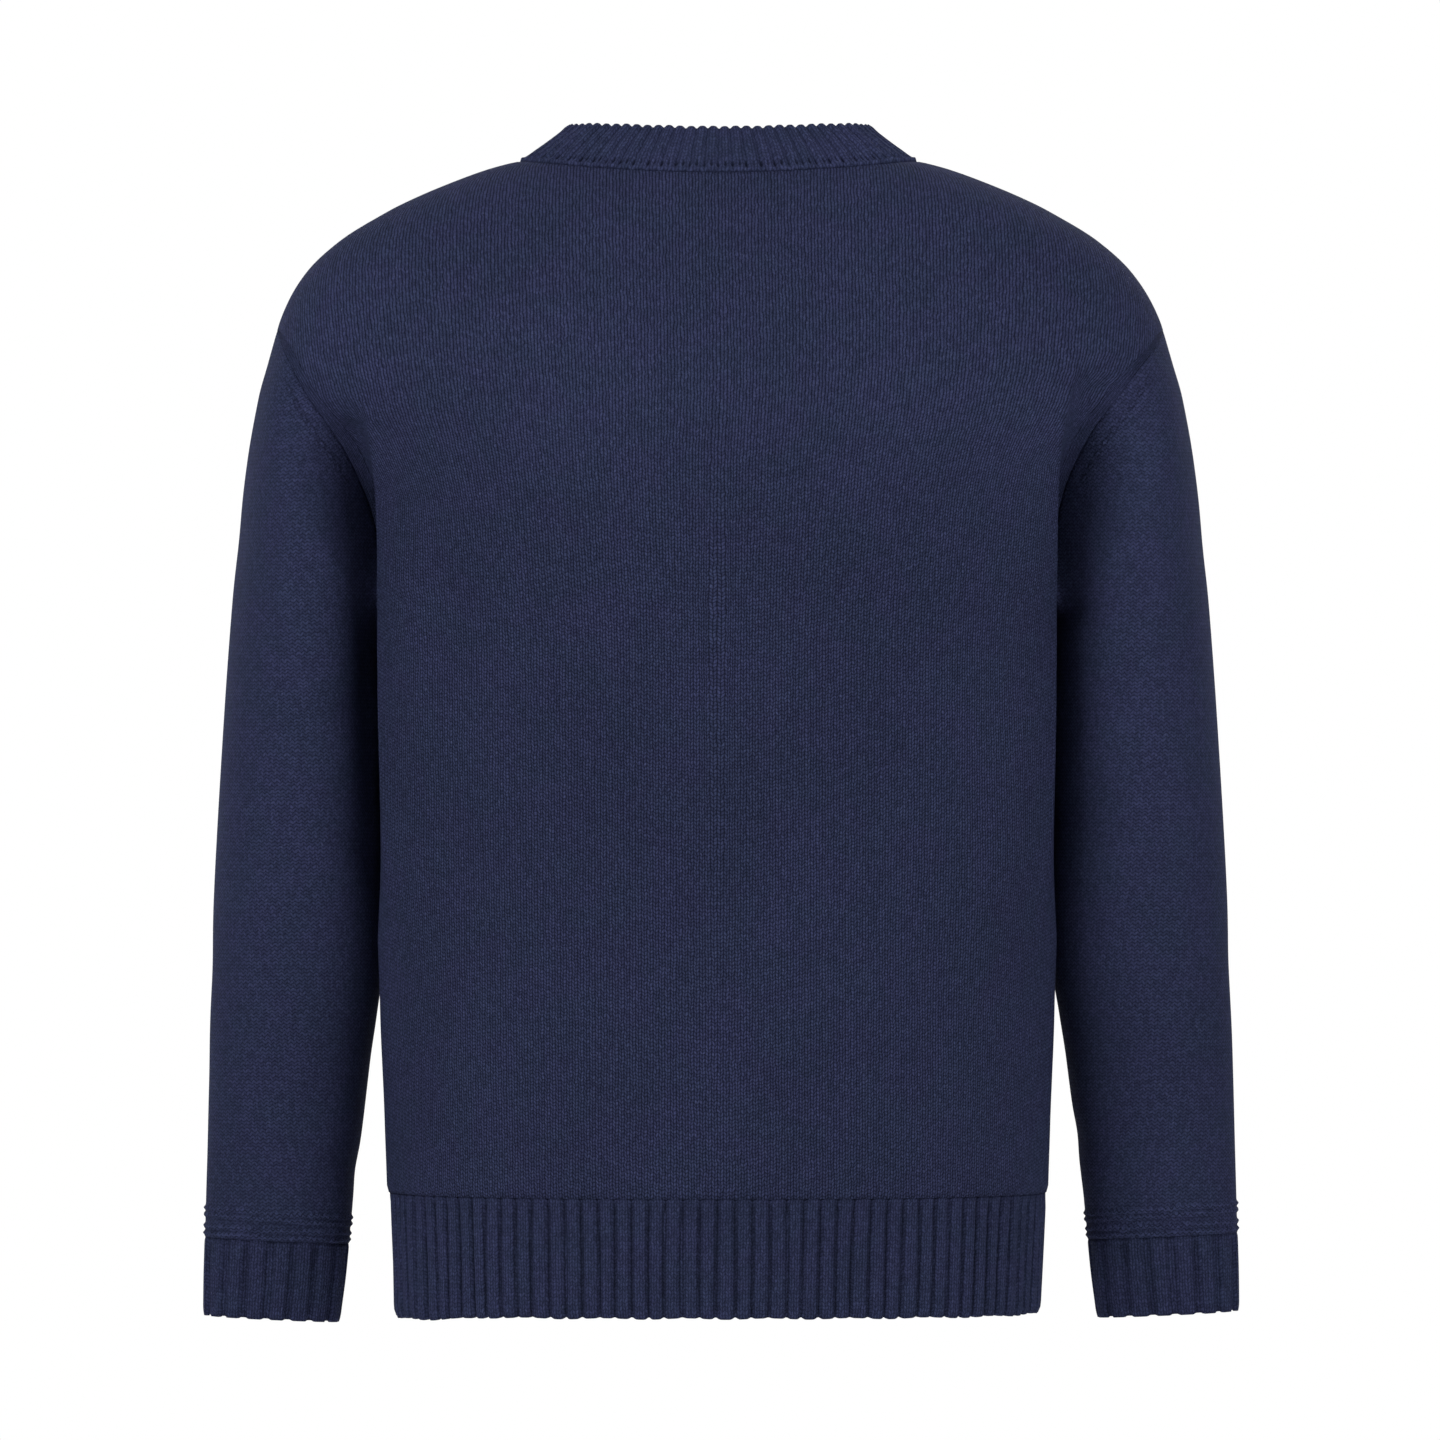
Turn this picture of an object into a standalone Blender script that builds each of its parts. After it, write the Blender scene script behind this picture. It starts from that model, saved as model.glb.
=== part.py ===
"""A crewneck sweater as hollow knitted panels, filled out as if worn, with nobody in it.

Metres, +Z up. The garment faces -Y and the wearer's left is +X. The origin is level with the two
points where the shoulder seams meet the neck rib, midway between them: that is where a wearer's
shoulders carry the weight. "drop" below always means the distance under that level.

Each panel is an open surface with Solidify. The torso is a stack of level outlines, and a panel
runs from its middle out to the shoulder seam, the armhole or the side seam. A sleeve starts as the
ring of its armhole and turns, over the length of the upper arm, into a hanging tube.
"""

from collections import namedtuple

import bpy
import numpy as np

COLLECTION = "crewneck_sweater"

# ---- driving sizes -------------------------------------------------------------------------
CLOTH = 0.0024  # thickness of the plain knit
RIB_CLOTH = 0.0030  # thickness of the ribbed edges
SEAM_GAP = 0.0003  # clear space between two pieces that are sewn together
RIB_GAP = 0.0004  # the same where a rib is joined on, because the cloth turns there
ARMHOLE_GAP = 0.0005  # the same round an armhole
EDGE_STRIP = 0.0030  # width of the narrow strip of faces along a seam

NECK_HALF_WIDTH = 0.1150
BACK_NECK_DROP = 0.0087
BACK_NECK_ROUND = 2.0  # 1 dips the seam like an ellipse, and more keeps it high for longer
FRONT_NECK_DROP = 0.0880
FRONT_NECK_ROUND = 1.3
SHOULDER_DROP = 0.1000  # where the shoulder seam ends and the armhole starts
UNDERARM_DROP = 0.2620
HEM_SEAM_DROP = 0.6085
HEM_DROP = 0.6785
CUFF_SEAM_DROP = 0.6340
CUFF_DROP = 0.6800
CUFF_SLOPE = 0.0040  # how much lower a cuff is on its inner side
SIDE_Y = -0.0050  # the plane of the shoulder seams and side seams

# Level outlines of the torso. back and front are measured from the plane of the side seams, and
# square is the outline's exponent: 2 is an ellipse, and more is squarer. Between the shoulder and
# the underarm, half_width is where the outline would end if the armhole didn't cut it short.
# flare is how much wider the back panel is at its corner, behind the arm, than at the side seam.
Level = namedtuple("Level", "drop half_width back front square flare")
TORSO = (
    Level(0.0000, 0.1150, 0.062, 0.058, 2.30, 0.0000),
    Level(0.0050, 0.1330, 0.067, 0.060, 2.30, 0.0000),
    Level(0.0120, 0.1530, 0.074, 0.063, 2.30, 0.0000),
    Level(0.0210, 0.1755, 0.082, 0.067, 2.30, 0.0000),
    Level(0.0300, 0.1940, 0.089, 0.070, 2.30, 0.0000),
    Level(0.0470, 0.2222, 0.099, 0.076, 2.30, 0.0000),
    Level(0.0650, 0.2420, 0.107, 0.083, 2.30, 0.0000),
    Level(0.0830, 0.2538, 0.113, 0.090, 2.40, 0.0000),
    Level(0.1000, 0.2605, 0.117, 0.097, 2.40, 0.0000),
    Level(0.1200, 0.2650, 0.120, 0.104, 2.50, 0.0000),
    Level(0.1400, 0.2610, 0.122, 0.110, 2.50, 0.0000),
    Level(0.1720, 0.2360, 0.124, 0.117, 2.50, 0.0000),
    Level(0.2060, 0.2105, 0.125, 0.122, 2.70, 0.0000),
    Level(0.2350, 0.2015, 0.124, 0.124, 2.90, 0.0005),
    Level(0.2620, 0.1985, 0.123, 0.124, 3.00, 0.0012),
    Level(0.3000, 0.1982, 0.122, 0.123, 2.92, 0.0056),
    Level(0.4000, 0.1976, 0.121, 0.120, 2.70, 0.0058),
    Level(0.5000, 0.1966, 0.126, 0.122, 2.40, 0.0050),
    Level(0.5700, 0.1960, 0.132, 0.127, 2.25, 0.0020),
    Level(0.6085, 0.1952, 0.134, 0.130, 2.20, 0.0000),
)
FLARE_FROM, FLARE_SPREAD = 0.032, 0.022  # how far behind the side seam it is, and its spread

# The armhole seam: reach is its distance from the middle of the garment.
Armhole = namedtuple("Armhole", "drop reach")
ARMHOLE = (
    Armhole(0.1000, 0.2605),
    Armhole(0.1050, 0.2585),
    Armhole(0.1190, 0.2530),
    Armhole(0.1380, 0.2430),
    Armhole(0.1550, 0.2310),
    Armhole(0.1720, 0.2190),
    Armhole(0.1880, 0.2110),
    Armhole(0.2060, 0.2040),
    Armhole(0.2250, 0.1995),
    Armhole(0.2450, 0.1968),
    Armhole(0.2560, 0.1963),
    Armhole(0.2620, 0.1985),
)

# The fold that runs down from beside the armhole to the underarm: line is where the panel turns
# in, and depth is how far it goes in there.
Fold = namedtuple("Fold", "drop line depth")
FOLD = (
    Fold(0.1250, 0.2100, 0.000),
    Fold(0.1450, 0.2075, 0.006),
    Fold(0.1650, 0.2055, 0.020),
    Fold(0.1850, 0.2040, 0.034),
    Fold(0.2050, 0.2030, 0.036),
    Fold(0.2250, 0.2015, 0.028),
    Fold(0.2450, 0.2005, 0.013),
    Fold(0.2620, 0.2000, 0.000),
)
FOLD_LOWER_LEFT = 0.006  # the left fold starts this much lower, and the right one higher
FOLD_EVENS_OUT = 0.050  # height above the underarm over which that difference dies out
FOLD_INSIDE, FOLD_OUTSIDE = 0.010, 0.026  # how far it is felt towards the middle and the sleeve

# Level outlines of the left sleeve. outer and inner are distances from the garment's middle plane,
# back and front are measured from the sleeve's own middle, which is at forward in front of SIDE_Y.
Ring = namedtuple("Ring", "drop outer inner depth forward")
SLEEVE = (
    Ring(0.1000, 0.2605, 0.1900, 0.062, 0.000),
    Ring(0.1200, 0.2660, 0.1900, 0.070, 0.001),
    Ring(0.1400, 0.2715, 0.1930, 0.076, 0.002),
    Ring(0.1770, 0.2782, 0.2000, 0.081, 0.005),
    Ring(0.2240, 0.2840, 0.2020, 0.081, 0.009),
    Ring(0.2620, 0.2875, 0.2014, 0.078, 0.012),
    Ring(0.3190, 0.2918, 0.2010, 0.071, 0.017),
    Ring(0.4000, 0.2965, 0.2002, 0.061, 0.024),
    Ring(0.4500, 0.2988, 0.1994, 0.055, 0.029),
    Ring(0.4840, 0.2998, 0.1998, 0.052, 0.032),
    Ring(0.5310, 0.3014, 0.2060, 0.047, 0.037),
    Ring(0.5780, 0.3026, 0.2120, 0.041, 0.041),
    Ring(0.6100, 0.3036, 0.2162, 0.036, 0.044),
    Ring(0.6340, 0.3044, 0.2188, 0.032, 0.046),
    Ring(0.6580, 0.3052, 0.2212, 0.0275, 0.047),
    Ring(0.6840, 0.3056, 0.2245, 0.0260, 0.048),
)
SLEEVE_SQUARE = 2.15
SETTLE_TOP, SETTLE_UNDERARM = 0.050, 0.018  # drop over which a sleeve leaves its armhole's line
ARMHOLE_DIP = 1.2  # radians below level at which the sleeve leaves the shoulder
LEVEL_SHARE = 0.6  # share of the sleeve's length after which its rings lie level
LEVEL_POWER = 1.3

# Neck rib: how it leans in and rises from its seam, at the back, the sides and the front.
RIB_LEAN_SIDE = 0.765  # width of its free edge over the width of its seam
RIB_LEAN_BACK, RIB_LEAN_FRONT = 0.70, 0.87
RIB_RISE_BACK, RIB_RISE_SIDE, RIB_RISE_FRONT = 0.0243, 0.0206, 0.0280
RIB_ROLL = 0.0015  # how far its middle stands out from the straight line

HEM_STEP = 0.0020  # the hem rib grips closer than the panel above it
HEM_TAPER = 0.0032  # and draws in this much more by its free edge
CUFF_STEP = 0.0010

# ---- how finely each piece is divided --------------------------------------------------------
ROWS_LEVEL_OUT = 5  # how soon a panel's rows forget the dip of the neck
COLUMNS_GIVE_WAY = 2.5  # how much of a panel's width its columns use to make way for the armhole
# 1 spaces rows evenly, and more draws them up to the top of their stretch.
SHOULDER_ROWS_CLOSER, SIDE_ROWS_CLOSER, SLEEVE_ROWS_CLOSER = 1.5, 1.3, 1.15
HALF_COLUMNS = 11  # of a panel, from its middle to its edge, without the narrow strip
SHOULDER_ROWS, ARMHOLE_ROWS, SIDE_ROWS = 7, 10, 7
SLEEVE_ROWS = 18
RIB_ROWS, HEM_ROWS, CUFF_ROWS = 2, 2, 2

BACK, FRONT = 1, -1  # the sides of the garment, as signs of Y
LEFT, RIGHT = 1, -1  # the wearer's sides, as signs of X

NAVY = (0.023, 0.027, 0.061, 1.0)
NAVY_RIB = (0.021, 0.025, 0.057, 1.0)
ROUGHNESS = 0.92


# ---- reading the tables ------------------------------------------------------------------------
def along(table, column, drop):
    """A table's column at any drop, on a smooth curve that doesn't swing past its rows."""
    x = np.array([row.drop for row in table])
    y = np.array([getattr(row, column) for row in table])
    step, rise = np.diff(x), np.diff(y)
    slope = rise / step
    tangent = np.zeros(len(x))
    same_way = slope[:-1] * slope[1:] > 0
    weight = step[:-1] / (step[:-1] + step[1:])
    blend = weight * slope[1:] + (1 - weight) * slope[:-1]
    tangent[1:-1][same_way] = (slope[:-1] * slope[1:])[same_way] / blend[same_way]
    tangent[0], tangent[-1] = slope[0], slope[-1]
    at = np.clip(drop, x[0], x[-1])
    i = np.clip(np.searchsorted(x, at, side="right") - 1, 0, len(step) - 1)
    t = (at - x[i]) / step[i]
    return (
        y[i]
        + rise[i] * t * t * (3 - 2 * t)
        + step[i] * t * (1 - t) * ((1 - t) * tangent[i] - t * tangent[i + 1])
    )


def ease(t):
    """0 to 1 with a flat start and a flat end."""
    t = np.clip(t, 0.0, 1.0)
    return t * t * (3 - 2 * t)


# ---- the form ------------------------------------------------------------------------------------
def outline(face, angle, drop):
    """A point of the torso's level outline: angle 0 is the panel's middle, and pi/2 its side."""
    power = 2 / along(TORSO, "square", drop)
    depth = along(TORSO, "back" if face == BACK else "front", drop)
    x = along(TORSO, "half_width", drop) * np.abs(np.sin(angle)) ** power
    y = face * depth * np.abs(np.cos(angle)) ** power
    x = x + along(TORSO, "flare", drop) * np.exp(-(((y - FLARE_FROM) / FLARE_SPREAD) ** 2))
    return x * np.sign(angle), y + SIDE_Y


def edge_angle(drop):
    """The angle at which a panel ends: at the shoulder seam, the armhole or the side seam."""
    share = along(ARMHOLE, "reach", drop) / along(TORSO, "half_width", drop)
    in_armhole = (drop > SHOULDER_DROP) & (drop < UNDERARM_DROP)
    share = np.where(in_armhole, np.minimum(share, 1.0), 1.0)
    return np.arcsin(share ** (along(TORSO, "square", drop) / 2))


def torso(face, angle, drop):
    """A point of a panel, with the fold that runs down beside the armhole."""
    x, y = outline(face, angle, drop)
    above_underarm = ease((UNDERARM_DROP - drop) / FOLD_EVENS_OUT)
    fold_drop = drop - FOLD_LOWER_LEFT * np.sign(x) * above_underarm
    past = np.abs(x) - along(FOLD, "line", fold_drop)
    reach = np.where(past < 0, FOLD_INSIDE, FOLD_OUTSIDE)
    tuck = along(FOLD, "depth", fold_drop) * np.exp(-((past / reach) ** 2))
    return np.stack([x, y - face * tuck, -drop], axis=-1)


def neck_seam(face, share):
    """Angle and drop of the neck seam, share running from 0 in the middle to 1 at the shoulder."""
    turn = np.linspace(0, np.pi / 2, 400)
    deepest = BACK_NECK_DROP if face == BACK else FRONT_NECK_DROP
    drop = deepest * np.cos(turn) ** (BACK_NECK_ROUND if face == BACK else FRONT_NECK_ROUND)
    across = NECK_HALF_WIDTH * np.sin(turn) / along(TORSO, "half_width", drop)
    angle = np.arcsin(np.minimum(across, 1.0) ** (along(TORSO, "square", drop) / 2))
    place = np.interp(np.abs(share), (angle + turn) / np.pi, turn)
    return np.sign(share) * np.interp(place, turn, angle), np.interp(place, turn, drop)


def armhole_drop(turn):
    """Drop of the armhole seam, turn running from 0 at its top to pi at the underarm."""
    middle, half = (UNDERARM_DROP + SHOULDER_DROP) / 2, (UNDERARM_DROP - SHOULDER_DROP) / 2
    return middle - half * np.cos(turn)


def tube(turn, drop):
    """A point of the left sleeve's level outline: turn 0 is outside, pi/2 behind, pi inside."""
    outer, inner = along(SLEEVE, "outer", drop), along(SLEEVE, "inner", drop)
    power = 2 / SLEEVE_SQUARE
    c, s = np.cos(turn), np.sin(turn)
    x = (outer + inner) / 2 + (outer - inner) / 2 * np.sign(c) * np.abs(c) ** power
    y = SIDE_Y - along(SLEEVE, "forward", drop)
    y = y + along(SLEEVE, "depth", drop) * np.sign(s) * np.abs(s) ** power
    return np.stack([x, y, -drop], axis=-1)


def sleeve_point(side, turn, share):
    """A point of a sleeve, share running from 0 at the armhole to 1 at the cuff seam."""
    outer = SHOULDER_DROP + (CUFF_SEAM_DROP - SHOULDER_DROP) * share
    lag = (UNDERARM_DROP - SHOULDER_DROP) * np.maximum(1 - share / LEVEL_SHARE, 0) ** LEVEL_POWER
    inner = outer + lag + CUFF_SLOPE * ease(share)
    drop = (outer + inner) / 2 + (outer - inner) / 2 * np.cos(turn)
    start = armhole_drop(turn)
    back, front = (torso(face, side * edge_angle(start), start) for face in (BACK, FRONT))
    seam = np.where((np.sin(turn) >= 0)[..., None], back, front) * (side, 1, 1)
    low = (1 - np.cos(turn)) / 2
    past = np.clip((drop - start) / (SETTLE_TOP + (SETTLE_UNDERARM - SETTLE_TOP) * low), 0, 1)
    kept = (1 - low) * (1 - ease(past)) + low * (1 - past) ** 2
    point = tube(turn, drop) + kept[..., None] * (seam - tube(turn, start))
    return (point + kept[..., None] * across_armhole(turn) * ARMHOLE_GAP / 2) * (side, 1, 1)


def across_armhole(turn):
    """The way from the left panel to the sleeve: down at the shoulder, outward at the underarm."""
    dip = ARMHOLE_DIP * (1 + np.cos(turn)) / 2
    return np.stack([np.cos(dip), np.zeros_like(dip), -np.sin(dip)], axis=-1)


# ---- making objects --------------------------------------------------------------------------------
def material(name, colour):
    cloth = bpy.data.materials.new(name)
    cloth.use_nodes = True
    shader = cloth.node_tree.nodes["Principled BSDF"]
    shader.inputs["Base Color"].default_value = colour
    shader.inputs["Roughness"].default_value = ROUGHNESS
    shader.inputs["Metallic"].default_value = 0.0
    cloth.diffuse_color = colour
    return cloth


def trim(rows, gap):
    """Moves the first of some rows of points half a gap towards the second."""
    inward = rows[1] - rows[0]
    rows[0] += inward / np.linalg.norm(inward, axis=-1, keepdims=True) * gap / 2


def shell(name, grid, thickness, colour, closed=False, flip=False):
    """A wall of cloth on a grid of points, rows by columns, that Solidify thickens inward."""
    rows, columns = grid.shape[:2]
    faces = []
    for row in range(rows - 1):
        for column in range(columns if closed else columns - 1):
            beside = (column + 1) % columns
            a, b = row * columns + column, row * columns + beside
            corners = (a, b, b + columns, a + columns)
            faces.append(corners[::-1] if flip else corners)
    mesh = bpy.data.meshes.new(name)
    mesh.from_pydata(grid.reshape(-1, 3).tolist(), [], faces)
    mesh.shade_smooth()
    mesh.materials.append(material(name + "_knit", colour))
    piece = bpy.data.objects.new(name, mesh)
    bpy.data.collections[COLLECTION].objects.link(piece)
    wall = piece.modifiers.new("wall", "SOLIDIFY")
    wall.thickness = thickness
    wall.offset = -1.0
    return piece


# ---- the pieces ----------------------------------------------------------------------------------
def column_shares():
    """Places across a panel, from -1 to 1, with a narrow strip along each edge."""
    strip = EDGE_STRIP / (NECK_HALF_WIDTH * 2)
    half = np.append(np.linspace(0, 1 - strip, HALF_COLUMNS + 1), 1.0)
    return np.concatenate([-half[:0:-1], half])


def row_drops():
    """Drops of a panel's rows at its edge; those in the armhole are the sleeve's columns."""
    down = np.linspace(0, 1, SHOULDER_ROWS) ** SHOULDER_ROWS_CLOSER
    shoulder = (SHOULDER_DROP - EDGE_STRIP) * down
    armhole = armhole_drop(np.linspace(0, np.pi, ARMHOLE_ROWS + 1))
    down = np.linspace(0, 1, SIDE_ROWS + 1)[1:] ** SIDE_ROWS_CLOSER
    side = UNDERARM_DROP + (HEM_SEAM_DROP - UNDERARM_DROP) * down
    return np.concatenate([shoulder, armhole, side])


def panel_grid(face):
    """The outer surface of the back or front panel, from the neck and shoulders to the hem rib."""
    share = column_shares()[None, :]
    edge_drop = row_drops()[:, None]
    seam_angle, seam_drop = neck_seam(face, share)
    near_neck = (1 - edge_drop / HEM_SEAM_DROP) ** ROWS_LEVEL_OUT
    drop = edge_drop + seam_drop * near_neck
    even = share * np.pi / 2
    cut = np.pi / 2 - edge_angle(edge_drop)
    angle = even + (seam_angle - even) * near_neck**2
    angle = angle - np.sign(share) * cut * np.abs(share) ** COLUMNS_GIVE_WAY
    return torso(face, angle, drop)


def panel(face, name):
    grid = panel_grid(face)
    trim(grid, SEAM_GAP)
    trim(grid[::-1], RIB_GAP)
    armhole = slice(SHOULDER_ROWS, SHOULDER_ROWS + ARMHOLE_ROWS + 1)
    turn = np.linspace(0, np.pi, ARMHOLE_ROWS + 1)
    for column, side in ((0, RIGHT), (-1, LEFT)):
        grid[: armhole.start + 1, column, 1] += face * SEAM_GAP / 2
        grid[armhole.stop - 1 :, column, 1] += face * SEAM_GAP / 2
        grid[armhole, column] -= across_armhole(turn) * (side, 1, 1) * ARMHOLE_GAP / 2
    return shell(name, grid, CLOTH, NAVY, flip=face == FRONT)


def hem_rib(face, name):
    """The ribbed band under a panel, stepped in from it and drawn in towards its free edge."""
    share = np.linspace(0, 1, HEM_ROWS + 1)[:, None]
    angle = column_shares()[None, :] * np.pi / 2
    x, y = outline(face, angle, np.full_like(angle, HEM_SEAM_DROP))
    grip = HEM_STEP + HEM_TAPER * share
    half_width = along(TORSO, "half_width", HEM_SEAM_DROP)
    narrower = 1 - grip / half_width
    grid = np.stack(
        [
            x * narrower,
            SIDE_Y + (y - SIDE_Y) * narrower,
            -(HEM_SEAM_DROP + (HEM_DROP - HEM_SEAM_DROP) * share) * np.ones_like(x),
        ],
        axis=-1,
    )
    trim(grid, RIB_GAP)
    grid[:, (0, -1), 1] += face * SEAM_GAP / 2
    return shell(name, grid, RIB_CLOTH, NAVY_RIB, flip=face == FRONT)


def sleeve_turns():
    """Angles round a sleeve that meet the panels' rows at the armhole."""
    return np.linspace(0, 2 * np.pi, 2 * ARMHOLE_ROWS + 1)[:-1]


def sleeve(side, name):
    strip = EDGE_STRIP / (CUFF_SEAM_DROP - SHOULDER_DROP)
    down = np.linspace(0, 1, SLEEVE_ROWS) ** SLEEVE_ROWS_CLOSER
    share = np.append(0.0, strip + (1 - strip) * down)
    grid = sleeve_point(side, sleeve_turns()[None, :], share[:, None])
    trim(grid[::-1], RIB_GAP)
    return shell(name, grid, CLOTH, NAVY, closed=True, flip=side == LEFT)


def cuff(side, name):
    """The ribbed end of a sleeve."""
    turn = sleeve_turns()[None, :]
    share = np.linspace(0, 1, CUFF_ROWS + 1)[:, None]
    drop = CUFF_SEAM_DROP + (CUFF_DROP - CUFF_SEAM_DROP) * share
    drop = drop + CUFF_SLOPE * (1 - np.cos(turn)) / 2
    grid = tube(turn, drop)
    middle = grid.mean(axis=1, keepdims=True)
    radius = np.linalg.norm((grid - middle)[..., :2], axis=-1, keepdims=True)
    grid[..., :2] -= (grid - middle)[..., :2] / radius * CUFF_STEP
    trim(grid, RIB_GAP)
    grid[..., 0] *= side
    return shell(name, grid, RIB_CLOTH, NAVY_RIB, closed=True, flip=side == LEFT)


def neck_rib(name):
    """The ribbed band round the neck, which leans in as it rises from its seam."""
    back, front = (torso(face, *neck_seam(face, column_shares())) for face in (BACK, FRONT))
    seam = np.concatenate([back[:-1], front[:0:-1]])
    depth = seam[:, 1] - SIDE_Y
    behind = depth > 0
    lean = np.where(behind, RIB_LEAN_BACK, RIB_LEAN_FRONT)
    reach = np.abs(depth) / np.where(behind, depth.max(), -depth.min())
    rise_end = np.where(behind, RIB_RISE_BACK, RIB_RISE_FRONT)
    rise = RIB_RISE_SIDE + (rise_end - RIB_RISE_SIDE) * reach**2
    free = np.stack(
        [seam[:, 0] * RIB_LEAN_SIDE, SIDE_Y + depth * lean, seam[:, 2] + rise], axis=-1
    )
    share = np.linspace(0, 1, RIB_ROWS + 1)[:, None, None]
    grid = free + (seam - free) * share
    out = np.stack([seam[:, 0], depth, np.full(len(seam), np.abs(depth).max())], axis=-1)
    out = out / np.linalg.norm(out, axis=-1, keepdims=True)
    grid = grid + out * RIB_ROLL * 4 * share * (1 - share)
    trim(grid[::-1], SEAM_GAP)
    return shell(name, grid, RIB_CLOTH, NAVY_RIB, closed=True)


def main():
    for thing in list(bpy.data.objects):
        bpy.data.objects.remove(thing, do_unlink=True)
    group = bpy.data.collections.new(COLLECTION)
    bpy.context.scene.collection.children.link(group)
    panel(BACK, "back_panel")
    panel(FRONT, "front_panel")
    hem_rib(BACK, "back_hem_rib")
    hem_rib(FRONT, "front_hem_rib")
    for side, word in ((LEFT, "left"), (RIGHT, "right")):
        sleeve(side, "sleeve_" + word)
        cuff(side, "cuff_" + word)
    neck_rib("neck_rib")


main()
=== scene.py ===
from collections import namedtuple

import bpy
import numpy as np
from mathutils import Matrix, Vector


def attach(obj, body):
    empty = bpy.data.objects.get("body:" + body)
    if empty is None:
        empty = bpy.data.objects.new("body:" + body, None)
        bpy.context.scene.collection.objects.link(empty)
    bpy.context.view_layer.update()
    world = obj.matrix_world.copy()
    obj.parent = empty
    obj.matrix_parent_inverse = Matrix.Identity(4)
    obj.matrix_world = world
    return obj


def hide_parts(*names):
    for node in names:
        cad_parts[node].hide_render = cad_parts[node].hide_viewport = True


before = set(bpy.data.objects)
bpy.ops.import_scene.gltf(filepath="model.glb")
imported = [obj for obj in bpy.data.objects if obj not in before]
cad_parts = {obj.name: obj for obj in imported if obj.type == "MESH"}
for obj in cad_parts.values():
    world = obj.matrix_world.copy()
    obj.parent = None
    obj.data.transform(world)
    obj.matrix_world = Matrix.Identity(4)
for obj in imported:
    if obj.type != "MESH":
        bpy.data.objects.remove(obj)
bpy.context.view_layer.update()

BACK, FRONT = 1, -1  # the sides of the garment, as signs of Y
LEFT, RIGHT = 1, -1  # the wearer's sides, as signs of X


def table(columns, rows):
    """Rows of numbers, which are read by the columns' names."""
    row = namedtuple("Row", columns)
    return [row(*map(float, line.split())) for line in rows.strip().splitlines()]


# ---- the garment's form, in metres ----
# As in the CAD source, with its outline corrected by up to 3.2 mm.
CLOTH, RIB_CLOTH = 0.0024, 0.0030
NECK_HALF_WIDTH = 0.1175
BACK_NECK_DROP, BACK_NECK_ROUND = 0.0087, 2.0
FRONT_NECK_DROP, FRONT_NECK_ROUND = 0.0880, 1.3
SHOULDER_DROP, UNDERARM_DROP = 0.1000, 0.2620
HEM_SEAM_DROP, HEM_DROP = 0.6085, 0.6785
CUFF_SEAM_DROP, CUFF_DROP, CUFF_SLOPE = 0.6340, 0.6800, 0.0040
SIDE_Y = -0.0050

TORSO = table("drop half_width back front square flare", """
0.0000 0.1175 0.062 0.058 2.30 0.0000
0.0050 0.1362 0.067 0.060 2.30 0.0000
0.0120 0.1556 0.074 0.063 2.30 0.0000
0.0210 0.1773 0.082 0.067 2.30 0.0000
0.0300 0.1956 0.089 0.070 2.30 0.0000
0.0470 0.2234 0.099 0.076 2.30 0.0000
0.0650 0.2430 0.107 0.083 2.30 0.0000
0.0830 0.2547 0.113 0.090 2.40 0.0000
0.1000 0.2615 0.117 0.097 2.40 0.0000
0.1200 0.2656 0.120 0.104 2.50 0.0000
0.1400 0.2614 0.122 0.110 2.50 0.0000
0.1720 0.2360 0.124 0.117 2.50 0.0000
0.2060 0.2105 0.125 0.122 2.70 0.0000
0.2350 0.2015 0.124 0.124 2.90 0.0005
0.2620 0.1985 0.123 0.124 3.00 0.0012
0.3000 0.1982 0.122 0.123 2.92 0.0056
0.4000 0.1976 0.121 0.120 2.70 0.0058
0.5000 0.1958 0.126 0.122 2.40 0.0050
0.5700 0.1957 0.132 0.127 2.25 0.0020
0.6085 0.1952 0.134 0.130 2.20 0.0000
""")
FLARE_FROM, FLARE_SPREAD = 0.032, 0.022

ARMHOLE = table("drop reach", """
0.1000 0.2615
0.1050 0.2594
0.1190 0.2536
0.1380 0.2433
0.1550 0.2310
0.1720 0.2190
0.1880 0.2110
0.2060 0.2040
0.2250 0.1995
0.2450 0.1968
0.2560 0.1963
0.2620 0.1985
""")

# A tuck beside each armhole. The CAD source's is deeper, because it has no lap over it.
FOLD = table("drop line depth", """
0.1250 0.2100 0.000
0.1450 0.2075 0.003
0.1650 0.2055 0.010
0.1850 0.2040 0.019
0.2050 0.2030 0.026
0.2250 0.2015 0.027
0.2450 0.2005 0.018
0.2620 0.2000 0.000
""")
FOLD_LOWER_LEFT, FOLD_EVENS_OUT = 0.006, 0.050
FOLD_INSIDE, FOLD_OUTSIDE = 0.010, 0.026

SLEEVE = table("drop outer inner depth forward", """
0.1000 0.2615 0.1900 0.062 0.000
0.1200 0.2672 0.1900 0.070 0.001
0.1400 0.2728 0.1930 0.076 0.002
0.1770 0.2795 0.2000 0.081 0.005
0.2240 0.2853 0.2012 0.081 0.009
0.2620 0.2888 0.2006 0.078 0.012
0.3190 0.2932 0.2006 0.071 0.017
0.4000 0.2984 0.2002 0.061 0.024
0.4500 0.3010 0.1994 0.055 0.029
0.4840 0.3023 0.1998 0.052 0.032
0.5310 0.3040 0.2060 0.047 0.037
0.5780 0.3053 0.2120 0.041 0.041
0.6100 0.3063 0.2162 0.036 0.044
0.6340 0.3070 0.2188 0.032 0.046
0.6580 0.3077 0.2212 0.0275 0.047
0.6840 0.3082 0.2245 0.0260 0.048
""")
SLEEVE_SQUARE = 2.15

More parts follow.
